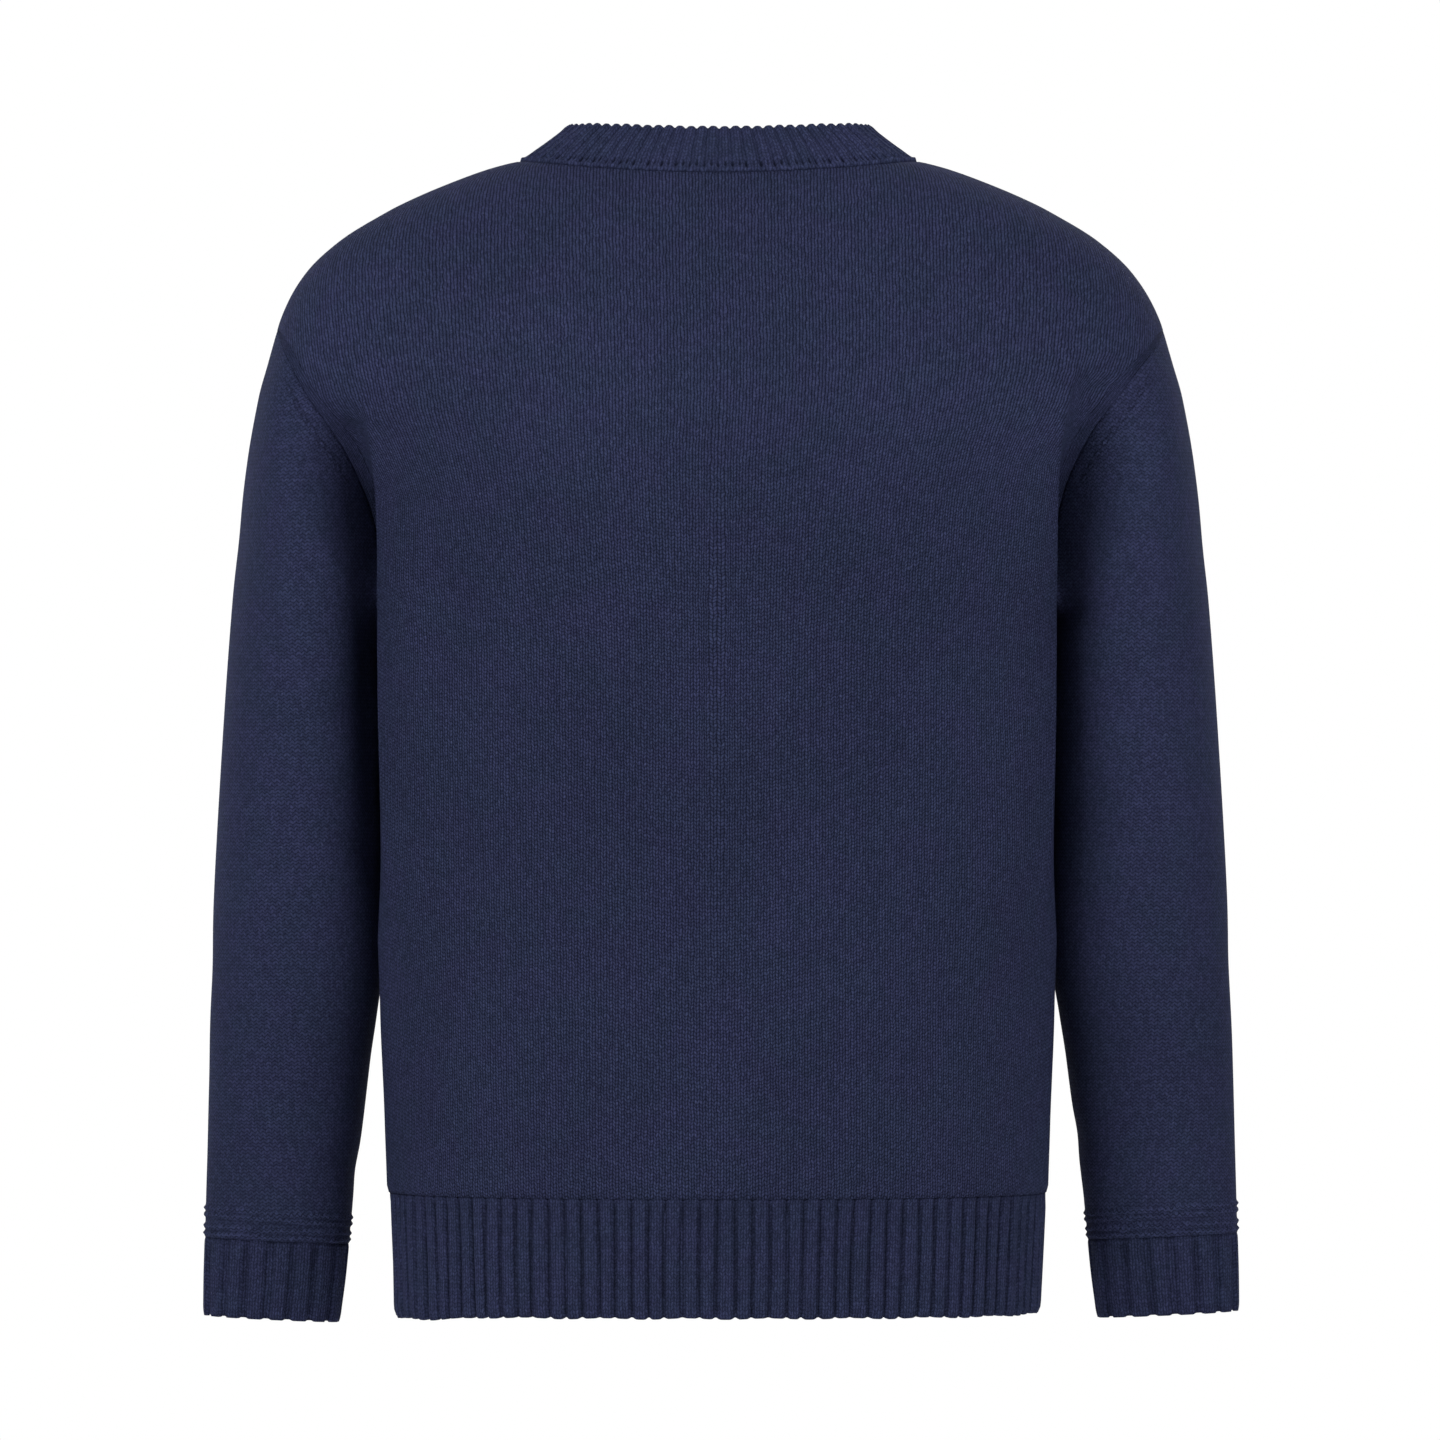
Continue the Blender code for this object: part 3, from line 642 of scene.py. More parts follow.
def knit_material(
    name, depth, painted_gap_shade, top_tone,
    wales=1.0, tones=(1.0, 1.0), drawn=False, marks=False, wrong_side=False,
):
    """depth is the bump's, and tones are the brightness low down and high up on the garment; on the
    sleeves the darker low end is painted shade.
    """
    material, shader = new_material(name)
    n = Nodes(material.node_tree)
    at = n.add("ShaderNodeUVMap", uv_map=KNIT_MAP).outputs["UV"]
    place = n.add("ShaderNodeTexCoord").outputs["Object"]
    # Loops are never quite even.
    wander = n.split(n.noise(place, DRIFT_SCALE, output="Color"), "ShaderNodeSeparateColor")
    u, v, _ = n.split(at)
    u = u + (wander[0] - 0.5) * DRIFT_ACROSS
    v = v + (wander[1] - 0.5) * DRIFT_UP
    height, which = purls(n, u, v) if wrong_side else stitches(n, u, v, place, wales, drawn)
    fuzz = n.noise(place, FUZZ_SCALE, 3.0, 0.7)
    raised = height + fuzz * FUZZ_HEIGHT
    if marks:
        # Where the sleeve is narrowed, small slanting stitches stand out beside the armhole.
        beside = n.add("ShaderNodeAttribute", attribute_name=BESIDE).outputs["Vector"]
        run, off, here = n.split(beside)
        off = off - MARK_OUT
        ahead = (n.math("FRACT", run) - 0.5) * MARK_SPACING + off * MARK_SLANT
        ahead, off = ahead / MARK_WIDTH, off / MARK_LENGTH
        away = ahead * ahead + off * off
        mark = n.ramp(away, 0.1, 1.0, 1.0, 0.0) * here
        rim = n.ramp(away, 1.0, 3.5, 1.0, 0.0) * here
        raised = raised + mark * MARK_HEIGHT
    grain = n.ramp(n.noise(place, GRAIN_SCALE, 2.0, 0.6), 0.32, 0.68, 0.82, 1.18)

    # Every leg of a stitch has its own tone, and some strands are much lighter than the rest.
    own = n.add("ShaderNodeTexWhiteNoise", noise_dimensions="3D")
    n.plug(which, own.inputs["Vector"])
    leg_tone = n.ramp(own.outputs["Value"], 0.0, 1.0, 0.84, 1.17)
    strand = n.ramp(n.noise(n.stretch(at, (2.4, 0.7, 1.0)), 1.0, 3.0, 0.7), 0.54, 0.78)
    cloudy = n.ramp(n.noise(place, CLOUD_SCALE, 3.0, 0.55), 0.3, 0.7, 0.94, 1.06)
    hue = n.ramp(n.noise(place, HUE_SCALE, 2.0, 0.6), 0.35, 0.65)
    # Painted shade and light: the yarn's colour is darker down between the loops and lighter on
    # their tops.
    light = n.ramp(height, 0.05, 0.85, painted_gap_shade, top_tone) * leg_tone * cloudy
    # Painted shade from the attribute in troughs, grooves, seams and pits, and painted light where
    # it is below 0.
    trough = n.add("ShaderNodeAttribute", attribute_name=PAINTED_SHADE_ATTRIBUTE).outputs["Fac"]
    light = light * n.ramp(trough, 0.0, 1.0, 1.0, PAINTED_TROUGH_SHADE)
    light = light * n.ramp(trough, 1.0, 2.0, 1.0, PAINTED_DEEP_SHADE)
    light = light * n.ramp(trough, -1.0, 0.0, PAINTED_RIDGE_LIGHT, 1.0)
    light = light * grain
    if marks:
        # Painted light on each mark, and painted shade round it.
        light = light * (1.0 - rim * MARK_RIM_SHADE) * (1.0 + mark * MARK_LIGHT)
    # The sleeves' colour is darker lower down: painted shade.
    light = light * n.ramp(n.split(place)[2], SHADE_LOW, SHADE_HIGH, *tones)
    tone = n.mix(strand, n.mix(hue, NAVY_COLD, NAVY_WARM), NAVY_FLECK)
    brighten = n.add("ShaderNodeVectorMath", operation="SCALE")
    n.plug(tone, brighten.inputs[0])
    n.plug(light, brighten.inputs["Scale"])
    bump = n.add("ShaderNodeBump")
    for value, socket in (
        (1.0, bump.inputs["Strength"]),
        (depth, bump.inputs["Distance"]),
        (raised, bump.inputs["Height"]),
        (bump.outputs[0], shader["Normal"]),
        (brighten.outputs[0], shader["Base Color"]),
        (n.ramp(fuzz, 0.3, 0.7, 0.86, 0.97), shader["Roughness"]),
        (0.04, shader["Specular IOR Level"]),
        (0.02, shader["Sheen Weight"]),
        (0.5, shader["Sheen Roughness"]),
        ((0.30, 0.36, 0.85, 1.0), shader["Sheen Tint"]),
    ):
        n.plug(value, socket)
    return material


KNIT = knit_material("navy_plain_knit", 0.0006, 0.36, 1.38, drawn=True)
SLEEVE_KNIT = knit_material(
    "navy_sleeve_knit", 0.0005, 0.46, 1.36, wales=0.40, tones=(0.82, 0.90), marks=True
)
WRONG = knit_material("navy_knit_wrong_side", 0.0006, 0.35, 1.35, wrong_side=True)
RIB = knit_material("navy_rib_knit", 0.0005, 0.62, 1.24)
NECK_KNIT = knit_material("navy_neck_knit", 0.0005, 0.66, 1.22, tones=(1.22, 1.22))

# ---- creases ----
# A soft trough or ridge on a panel: where its middle is, how far it leans from upright, its length,
# its width and its depth, which is negative where it stands out.
BACK_CREASES = table("x drop lean length width depth", """
0.176 0.300 4 0.150 0.016 -0.0022
0.150 0.420 14 0.210 0.018 0.0020
0.176 0.520 -8 0.110 0.014 0.0016
-0.170 0.290 -6 0.120 0.014 0.0016
-0.120 0.470 6 0.180 0.026 0.0022
-0.160 0.420 -10 0.160 0.018 -0.0014
0.060 0.500 -5 0.160 0.026 0.0013
0.030 0.330 28 0.120 0.030 0.0010
-0.060 0.240 -34 0.140 0.032 0.0012
-0.020 0.560 3 0.100 0.024 -0.0012
0.100 0.180 40 0.130 0.028 0.0010
-0.140 0.170 -46 0.120 0.024 0.0011
""")
FRONT_CREASES = table("x drop lean length width depth", """
0.158 0.290 -20 0.130 0.014 0.0022
0.120 0.400 12 0.190 0.022 0.0018
-0.165 0.300 16 0.120 0.014 0.0020
-0.110 0.440 -9 0.200 0.024 0.0020
0.020 0.510 4 0.150 0.028 0.0014
-0.050 0.300 26 0.120 0.030 0.0010
0.080 0.210 -38 0.130 0.026 0.0011
-0.120 0.190 42 0.110 0.024 0.0010
""")


def crease_depth(creases, x, drop):
    total = np.zeros(np.broadcast(x, drop).shape)
    for crease in creases:
        lean = np.radians(crease.lean)
        dx, dd = x - crease.x, drop - crease.drop
        down = dd * np.cos(lean) - dx * np.sin(lean)
        across = dx * np.cos(lean) + dd * np.sin(lean)
        reach = np.clip(1 - (down / (crease.length / 2)) ** 2, 0, 1) ** 1.5
        total = total + crease.depth * reach * bell(across / crease.width)
    return total


# ---- the pieces ----
# How deep a seam lies, how far that reaches, and how far the two sides face alike.
SEAM_SINK, SEAM_REACH, SEAM_MEET = 0.0004, 0.0022, 0.0050
BAND_HEIGHT, BAND_GROOVE, GROOVE_WIDTH = 0.0006, 0.0004, 0.0014
NECK_SINK, NECK_SINK_REACH = 0.0007, 0.0020
HEM_IN_MIDDLE, HEM_IN_SIDE, HEM_ROUND = 0.0009, 0.0010, 0.0045
HEM_RIB_DEPTH, HEM_CURL = 0.0024, 0.0008
HEM_BACK_HIGHER, HEM_LEFT_LOWER, HEM_SIDE_RISE = 0.0013, 0.0024, 0.0002
HEM_TROUGH, NECK_TROUGH = 0.15, 0.20  # half width of the gap between ribs, in ribs
RIDGE_HEIGHT, RIDGE_WIDTH, RIDGE_HALF = 0.0011, 0.00115, 0.0016
CUFF_RIB_DEPTH = 0.0024
INSIDE_RIB = 0.0008  # how much of a trough shows on the inside of a rib
# The share of the relief that shows inside, and how much thinner a hollow may make the cloth.
PANEL_INSIDE, SLEEVE_INSIDE = (0.7, 0.0004), (0.6, 0.0003)
NECK_RIB_DEPTH, LINK_PITCH = 0.0016, 0.0034
PITS_AT, LINK_AT = 0.850, 0.945  # from the free edge, 0, to the seam, 1
PIT_DEPTH, PIT_SHADE, LINK_HEIGHT, LINK_BEAD, LINK_LIGHT = 0.0012, 1.5, 0.0004, 0.0005, 0.35
RIB_LINE_LIGHT, NECK_SEAM_SHADE = 0.75, 0.30
# How much painted shade each trough, groove and seam gets, and how much painted light a cord gets,
# as a value of the painted shade attribute.
GROOVE_SHADE, SEAM_SHADE, CORD_SHADE, CORD_LIGHT = 0.20, 0.22, 0.16, 0.35
SLEEVE_SEAM_SHADE, RIDGE_SHADE = 0.18, 0.36
HEM_SHADE, CUFF_SHADE, NECK_SHADE = 0.73, 0.45, 0.25
MARKED_FROM, MARKED_TO = 0.118, 0.192  # drops of the seam between which the marks lie


def panel(face, name, creases):
    shoulder = SHOULDER_DROP * steps(SHOULDER_ROWS)[:-1] ** SHOULDER_CLOSER
    armhole_turn = np.linspace(0, np.pi, ARMHOLE_ROWS + 1)
    armhole = armhole_drop(armhole_turn)
    side_rows = steps(SIDE_ROWS)[1:] ** SIDE_CLOSER
    below = UNDERARM_DROP + (HEM_SEAM_DROP - UNDERARM_DROP) * side_rows
    edge_drop = np.concatenate([shoulder, armhole, below])[:, None]
    near_neck = (1 - edge_drop / HEM_SEAM_DROP) ** ROWS_LEVEL_OUT

    def half(side):
        """Angle and drop of one half's points, in columns spaced by length along each row."""
        share = side * steps(FINE_COLUMNS)[None, :]
        seam_angle, seam_drop = neck_seam(face, share)
        edge_turn = edge_angle(edge_drop, side)
        cut = np.pi / 2 - edge_turn
        even = share * np.pi / 2
        angle = even + (seam_angle - even) * near_neck**2
        angle = angle - side * cut * np.abs(share) ** COLUMNS_GIVE_WAY
        angle[:, -1] = side * (np.pi / 2 - cut[:, 0])

        # The rows follow the neck's dip by angle, so that they never cross.
        def dip(turned):
            return np.interp(np.abs(turned), np.abs(seam_angle[0]), seam_drop[0])

        at_edge = dip(edge_turn) * (np.abs(angle) / edge_turn) ** 8
        drop = edge_drop + (dip(angle) - at_edge) * near_neck
        line = lapped(face, np.where(angle == 0, side * 1e-6, angle), drop)
        run = lengths(line, 1)
        fold_turn = lap_turn(edge_drop, lap_level(side, edge_drop), edge_turn)
        flat_share = ease((edge_drop - 0.060) / 0.070)[:, 0]
        placed = []
        for k in range(len(run)):
            inner_run = run[k, -1] - BAND
            fold = np.interp(fold_turn[k, 0], side * angle[k], run[k]) / inner_run
            even_fold = FOLD_COLUMN / PANEL_HALF_COLUMNS * (1 - flat_share[k])
            fold = inner_run * (even_fold + fold * flat_share[k])
            to_fold = fold * steps(FOLD_COLUMN) ** (1 - 0.15 * flat_share[k])
            to_band = np.linspace(fold, inner_run, PANEL_HALF_COLUMNS - FOLD_COLUMN + 1)[1:]
            in_band = inner_run + BAND * steps(BAND_COLUMNS)[1:]
            at = np.concatenate([to_fold, to_band, in_band])
            placed.append([np.interp(at, run[k], angle[k]), np.interp(at, run[k], drop[k])])
        return np.swapaxes(placed, 0, 1)

    (left_angle, left_drop), (right_angle, right_drop) = half(LEFT), half(RIGHT)
    angle = np.concatenate([right_angle[:, :0:-1], left_angle], axis=1)
    drop = np.concatenate([right_drop[:, :0:-1], left_drop], axis=1)
    angle = np.where(angle == 0, 1e-6, angle)
    base = lapped(face, angle, drop)
    width = lengths(base, 1)
    from_edge = np.minimum(width, width[:, -1:] - width)

    # Beside the armhole the cloth faces as the sleeve's does, so that the two meet.
    first, last = SHOULDER_ROWS, SHOULDER_ROWS + ARMHOLE_ROWS
    middle = base.shape[1] // 2
    own = cross_grid(base, False) * -face
    seam_way = own.copy()
    seam_way[first : last + 1, :middle] = seam_facing(RIGHT, face * armhole_turn)[:, None]
    seam_way[first : last + 1, middle:] = seam_facing(LEFT, face * armhole_turn)[:, None]
    normal = meet(own, seam_way, from_edge)

    # Distances over the level outlines, for the stitches.
    turn = np.linspace(0, np.pi / 2, 121)
    levels = np.linspace(0, HEM_SEAM_DROP, 300)
    x, y = outline(face, turn[None, :] + 1e-9, levels[:, None])
    form = vectors(x, y, -levels[:, None])
    around, downward = lengths(form, 1), lengths(form, 0)
    # The fold takes cloth of its own, counted from the middle of the panel.
    level_x, level_y = outline(face, angle, drop)
    folded_in = width - lengths(vectors(level_x, level_y, -drop), 1)
    folded_in = folded_in - folded_in[:, middle : middle + 1]
    across = look_up(around, levels, turn, drop, np.abs(angle))
    across = across + np.abs(folded_in) * ease((edge_drop - 0.10) / 0.03)
    # Across the shoulders the wales fan out, until beside the armhole they run along its seam.
    low_reach = [np.interp(FAN_LOW, edge_drop[:, 0], across[:, column]) for column in (0, -1)]
    above_fan = np.maximum(FAN_LOW - drop, 0) / FAN_LOW
    fan = 1 + FAN * above_fan * ease(above_fan / FAN_EASE)
    towards_edge = np.minimum(across / (np.where(angle < 0, *low_reach) * fan), 1.0) ** 2
    spread = 1 + (WALES_SPREAD - 1) * ease((SPREAD_BELOW - drop) / SPREAD_OVER)
    spread = spread * (1 - towards_edge) + fan * towards_edge
    u = np.sign(angle) * across / (WALE * spread)
    v = -look_up(downward, levels, turn, drop, np.abs(angle)) / COURSE
    body = stitch_corners(u, v)

    # In the band beside the armhole the wales run along the seam.
    run = -lengths(base[:, -1], 0)[:, None]
    banded = stitch_corners(from_edge / BAND_WALE, run / COURSE)
    cells = np.zeros(banded.shape[:2], bool)
    cells[first:last, :BAND_COLUMNS] = True
    cells[first:last, -BAND_COLUMNS:] = True
    knit = np.where(cells[..., None, None], banded, body)

    # Relief: creases, a groove beside the band, and edges that roll in to the seams.
    relief = -crease_depth(creases, base[..., 0], drop) * ease((from_edge - 0.005) / 0.03)
    in_armhole = ease((edge_drop - SHOULDER_DROP) / 0.02) * ease((UNDERARM_DROP - edge_drop) / 0.02)
    across_band = ease(from_edge / 0.001) * ease((BAND + 0.001 - from_edge) / 0.001) * in_armhole
    cords = (0.5 - 0.5 * np.cos(2 * np.pi * from_edge / BAND_WALE)) * across_band
    groove = bell((from_edge - BAND) / GROOVE_WIDTH) * in_armhole
    seam, seam_depth = sewn(from_edge, edge_drop)
    relief = relief - BAND_GROOVE * groove + BAND_HEIGHT * cords - seam_depth
    from_neck = lengths(base, 0)
    relief = relief - NECK_SINK * bell(from_neck / NECK_SINK_REACH)
    to_hem = from_neck[-1:] - from_neck
    gather = HEM_IN_MIDDLE + (HEM_IN_SIDE - HEM_IN_MIDDLE) * np.sin(angle) ** 2
    relief = relief - gather * (1 - ease(to_hem / HEM_ROUND))
    outer, inner = cloth_faces(base, normal, relief, *PANEL_INSIDE)
    # Painted shade in the groove beside the band, along the seam and between the cords; the painted
    # light on the cords only lessens it, as it is cut off at 0.
    painted_shade = np.maximum(GROOVE_SHADE * groove, SEAM_SHADE * seam)
    painted_shade = painted_shade + CORD_SHADE * (across_band - cords) - CORD_LIGHT * cords
    painted_shade = np.maximum(painted_shade, 0.0)
    return wall(name, outer, inner, knit, [KNIT, WRONG], flip=face == FRONT, painted_shade=painted_shade)


def sewn(away, drop):
    """How near a seam a point is, from 1 on it, and how deep it lies there."""
    near = bell(away / SEAM_REACH)
    return near, SEAM_SINK * near * (0.35 + 0.65 * ease((drop - SHOULDER_DROP) / 0.02))


def meet(own, shared, away):
    """A piece's facing, turned towards the shared facing of a seam near that seam."""
    share = bell(away / SEAM_MEET)[..., None]
    return unit(own * (1 - share) + shared * share)


def rib_height(phase, trough, sharp=2.0):
    """1 on a rib and 0 in the trough between two, phase running from one trough to the next."""
    away = np.minimum(phase % 1.0, 1 - phase % 1.0)
    return 1 - np.exp(-((away / trough) ** sharp))


def cloth_faces(base, normal, relief, share, thinner):
    """The outside and the inside of plain cloth."""
    inside = np.minimum(share * relief, relief + thinner) - CLOTH
    return base + normal * relief[..., None], base + normal * inside[..., None]


def rib_faces(base, normal, relief, rib, ends):
    """The outside and the inside of a rib, whose troughs show a little on the inside too."""
    inside = -RIB_CLOTH + INSIDE_RIB * (1 - rib) * ends
    return base + normal * relief[..., None], base + normal * inside[..., None]


def hem_rib(face, name):
    columns = HEM_RIBS * HEM_RIB_COLUMNS
    share = np.linspace(-1, 1, columns + 1)[None, :]
    row = steps(HEM_ROWS)[:, None]
    # Columns are spaced evenly along the outline.
    fine = np.linspace(-np.pi / 2, np.pi / 2, 2001)
    x, y = outline(face, fine, np.full_like(fine, HEM_SEAM_DROP))
    run = lengths(vectors(x, y), 0)
    angle = np.interp((share + 1) / 2 * run[-1], run, fine)
    x, y = outline(face, angle, np.full_like(angle, HEM_SEAM_DROP))
    curl = HEM_CURL * (1 - ease((1 - row) / 0.09)) ** 2
    grip = HEM_STEP + HEM_TAPER * row + curl
    narrower = 1 - grip / along(TORSO, "half_width", HEM_SEAM_DROP)
    x = x * narrower + along(SWAY, "across", HEM_SEAM_DROP) + HEM_LEAN * row
    y = SIDE_Y + (y - SIDE_Y) * narrower
    drop = HEM_SEAM_DROP + (HEM_DROP - HEM_SEAM_DROP) * row
    at_side = bell((np.pi / 2 - np.abs(angle)) / 0.22)
    lower = -HEM_BACK_HIGHER * np.cos(angle) ** 2 + HEM_LEFT_LOWER * ease((x - 0.13) / 0.05)
    lower = lower - HEM_SIDE_RISE * at_side
    drop = drop + lower * row**2
    base = vectors(x, y, -drop)
    normal = cross_grid(base, False) * -face
    normal = unit(normal * (1, 1, 0))
    phase = (share + 1) / 2 * HEM_RIBS
    bend = 0.10 * np.sin(phase * 0.61) * np.sin(row * 2.6) + 0.06 * np.sin(phase * 2.3 + 1.0) * row
    rib = rib_height(phase + bend, HEM_TROUGH)
    ends = ease(row / 0.07) * ease((1 - row) / 0.05)
    sway = 0.0004 * np.sin(phase * 1.9 + row * 2.3) + 0.0003 * np.sin(phase * 0.83)
    relief = (rib - 1) * HEM_RIB_DEPTH * (0.35 + 0.65 * ends) + 0.0004 + sway * ease(row / 0.15)
    relief = relief - 0.0006 * (1 - ease((1 - row) / 0.05))
    outer, inner = rib_faces(base, normal, relief, rib, ends)
    # The free edge dips at each rib.
    dip = (0.0010 + 0.0004 * np.sin(phase * 1.3)) * rib * ease((row - 0.8) / 0.2)
    outer[..., 2] -= dip
    inner[..., 2] -= dip * 0.8
    knit = stitch_corners(phase * 3 + 0.5, -drop / COURSE)
    # Painted shade in the troughs between ribs.
    painted_shade = HEM_SHADE * (1 - rib) * (0.5 + 0.5 * ends)
    return wall(name, outer, inner, knit, [RIB, RIB], flip=face == FRONT, painted_shade=painted_shade)


# Soft folds of a sleeve: where round the sleeve, how far down, and how wide, tall and deep it is.
DENTS = table("turn drop width height slope depth", """
0.9 0.235 0.9 0.020 0.012 0.0016
1.9 0.330 0.8 0.016 -0.020 0.0018
2.3 0.400 0.7 0.014 0.018 0.0016
4.0 0.385 0.9 0.015 0.020 0.0026
4.4 0.430 0.8 0.013 -0.016 0.0022
3.4 0.300 0.8 0.014 0.016 0.0016
0.5 0.480 0.8 0.022 0.012 0.0010
1.6 0.560 0.9 0.016 -0.014 0.0012
5.2 0.520 0.8 0.018 0.014 0.0014
2.8 0.590 0.8 0.012 0.010 0.0014
""")
# Rows of purl stitches above a cuff: how far each is above the cuff's seam on the arm's outer side,
# and how much closer it comes to the seam on the inner side.
PURL_RIDGES = table("above closer", """
0.0022 0.0000
0.0064 0.0002
0.0137 0.0022
0.0176 0.0024
""")
RIDGE_BAND = 0.0240
INNER_BACK, HOLLOW_WIDTH = 2.72, 0.34  # where each sleeve falls away from the body, and how wide
HOLLOW = {LEFT: 0.0055, RIGHT: 0.0005}
HOLLOW_TOP, HOLLOW_FOOT, HOLLOW_EASES_OFF = 0.20, 0.52, 0.70
RIGHT_DENTS_HIGHER, RIGHT_DENTS_LEAN = 0.012, -0.6
ARM_RADIUS, SIDE_SEAM_WIDTH, SIDE_SEAM_SINK = 0.045, 0.0022, 0.0007
GAP_AT, GAP_WIDTH = 0.0021, 0.0009  # the line of painted shade under each purl ridge
# The drops at which each way that an arm hangs begins or ends, and over how much.
AWAY_BELOW, AWAY_OVER = 0.455, 0.05
CLOSER_ABOVE, CLOSER_OVER = 0.505, 0.05
CUFF_IN_BELOW, CUFF_IN_OVER = 0.45, 0.12
LONGER_BELOW, LONGER_OVER = 0.40, 0.20


def hang(side, points, turn, drop):
    """Lets one arm hang a little lower, and both a little away from the body."""
    away = INNER_AWAY_LEFT if side == LEFT else INNER_AWAY_RIGHT
    inner_side = ((1 - np.cos(turn)) / 2) ** 2
    points = points.copy()
    points[..., 0] += side * away * ease((drop - AWAY_BELOW) / AWAY_OVER) * inner_side
    if side == RIGHT:
        closer = ease((drop - UNDERARM_DROP) / 0.02) * ease((CLOSER_ABOVE - drop) / CLOSER_OVER)
        points[..., 0] += RIGHT_CLOSER * (closer * inner_side)
    if side == LEFT:
        points[..., 0] -= LEFT_CUFF_IN * ease((drop - CUFF_IN_BELOW) / CUFF_IN_OVER)
        points[..., 2] -= LEFT_LONGER * ease((drop - LONGER_BELOW) / LONGER_OVER)
    return points


def sleeve(side, name):
    turn = np.linspace(0, 2 * np.pi, SLEEVE_COLUMNS + 1)[None, :-1]
    length = CUFF_SEAM_DROP - SHOULDER_DROP
    start = 1 - RIDGE_BAND / length
    down = steps(SLEEVE_ROWS)[:-1] ** SLEEVE_CLOSER * start
    share = np.concatenate([down, start + (1 - start) * steps(RIDGE_ROWS)])[:, None]
    drop = sleeve_drop(turn, share)
    base = hang(side, sleeve_point(side, turn, share), turn, drop)
    from_seam = lengths(base, 0)
    normal = meet(cross_grid(base, True) * side, seam_facing(side, turn), from_seam)
    relief = np.zeros(drop.shape)
    for dent in DENTS:
        away = (turn - dent.turn + np.pi) % (2 * np.pi) - np.pi
        level = drop - dent.drop - dent.slope * away * (1 if side == LEFT else RIGHT_DENTS_LEAN)
        if side == RIGHT:
            level = level + RIGHT_DENTS_HIGHER
        relief -= dent.depth * np.exp(-((away / dent.width) ** 2) - (level / dent.height) ** 2)
    for inner_face in (INNER_BACK, 2 * np.pi - INNER_BACK):
        hollow = bell((turn - inner_face) / HOLLOW_WIDTH)
        hollow = hollow * ease(np.abs(turn - np.pi) / 0.55)
        shallower = 1 - HOLLOW_EASES_OFF * ease((drop - 0.24) / 0.24)
        hollow = HOLLOW[side] * hollow * shallower
        relief -= hollow * ease((drop - HOLLOW_TOP) / 0.08) * ease((HOLLOW_FOOT - drop) / 0.14)
    relief = relief * ease(from_seam / 0.045)
    seam, seam_depth = sewn(from_seam, armhole_drop(turn))
    relief = relief - seam_depth
    inner_side = (1 - np.cos(turn)) / 2
    above_cuff = (1 - share) * length * np.ones_like(turn)
    purl = np.zeros(drop.shape, bool)
    between = np.zeros(drop.shape)
    for k, ridge in enumerate(PURL_RIDGES):
        wave = 0.0003 * np.sin(turn * 7 + k * 1.9) + 0.0002 * np.sin(turn * 17 + k)
        off = above_cuff - (ridge.above - ridge.closer * inner_side) - wave
        uneven = 1 + 0.15 * np.sin(turn * 31 + 2 * k)
        relief += RIDGE_HEIGHT * uneven * bell(off / RIDGE_WIDTH)
        purl |= np.abs(off) < RIDGE_HALF
        between += bell((off + GAP_AT) / GAP_WIDTH)
    # The side seam along the underarm.
    away = np.pi - np.abs((turn + np.pi) % (2 * np.pi) - np.pi)
    underarm = bell(away * ARM_RADIUS / SIDE_SEAM_WIDTH) * ease(from_seam / 0.02)
    relief = relief - SIDE_SEAM_SINK * underarm * ease((above_cuff - 0.020) / 0.01)
    outer, inner = cloth_faces(base, normal, relief, *SLEEVE_INSIDE)

    # Wales run down the arm, counted along level lines both ways from its outer side.
    middle = SLEEVE_COLUMNS // 2
    levels = -np.linspace(SHOULDER_DROP, CUFF_SEAM_DROP + CUFF_SLOPE + LEFT_LONGER, 260)
    halves = []
    for way in (1, -1):
        columns = (way * np.arange(middle + 1)) % SLEEVE_COLUMNS
        level_lines = np.stack(
            [
                np.stack([np.interp(-levels, -base[:, j, 2], base[:, j, k]) for j in columns], 1)
                for k in range(2)
            ],
            axis=-1,
        )
        run = lengths(level_lines, 1)
        wales = np.stack(
            [np.interp(-base[:, j, 2], -levels, run[:, i]) for i, j in enumerate(columns)], axis=1
        )
        courses = base[:, columns, 2] * WALE / COURSE
        halves.append(stitch_corners((way * wales / WALE)[:, ::way], (courses / WALE)[:, ::way]))
    knit = np.concatenate(halves, axis=1)
    # Painted shade along the armhole seam and under each purl ridge.
    painted_shade = np.maximum(SLEEVE_SEAM_SHADE * seam, np.clip(RIDGE_SHADE * between, 0, 1))
    purl = purl[:-1] & purl[1:]
    seam_run = lengths(np.concatenate([base[:1], base[:1, :1]], axis=1), 1)[:, :-1]
    beside_drop = armhole_drop(turn)
    marked = ease((beside_drop - MARKED_FROM) / 0.008) * ease((MARKED_TO - beside_drop) / 0.010)
    beside = vectors(seam_run / MARK_SPACING, from_seam, marked)
    slots = [SLEEVE_KNIT, WRONG]
    turned = side == LEFT
    return wall(
        name, outer, inner, knit, slots, painted_shade, closed=True, flip=turned, purl=purl, beside=beside
    )


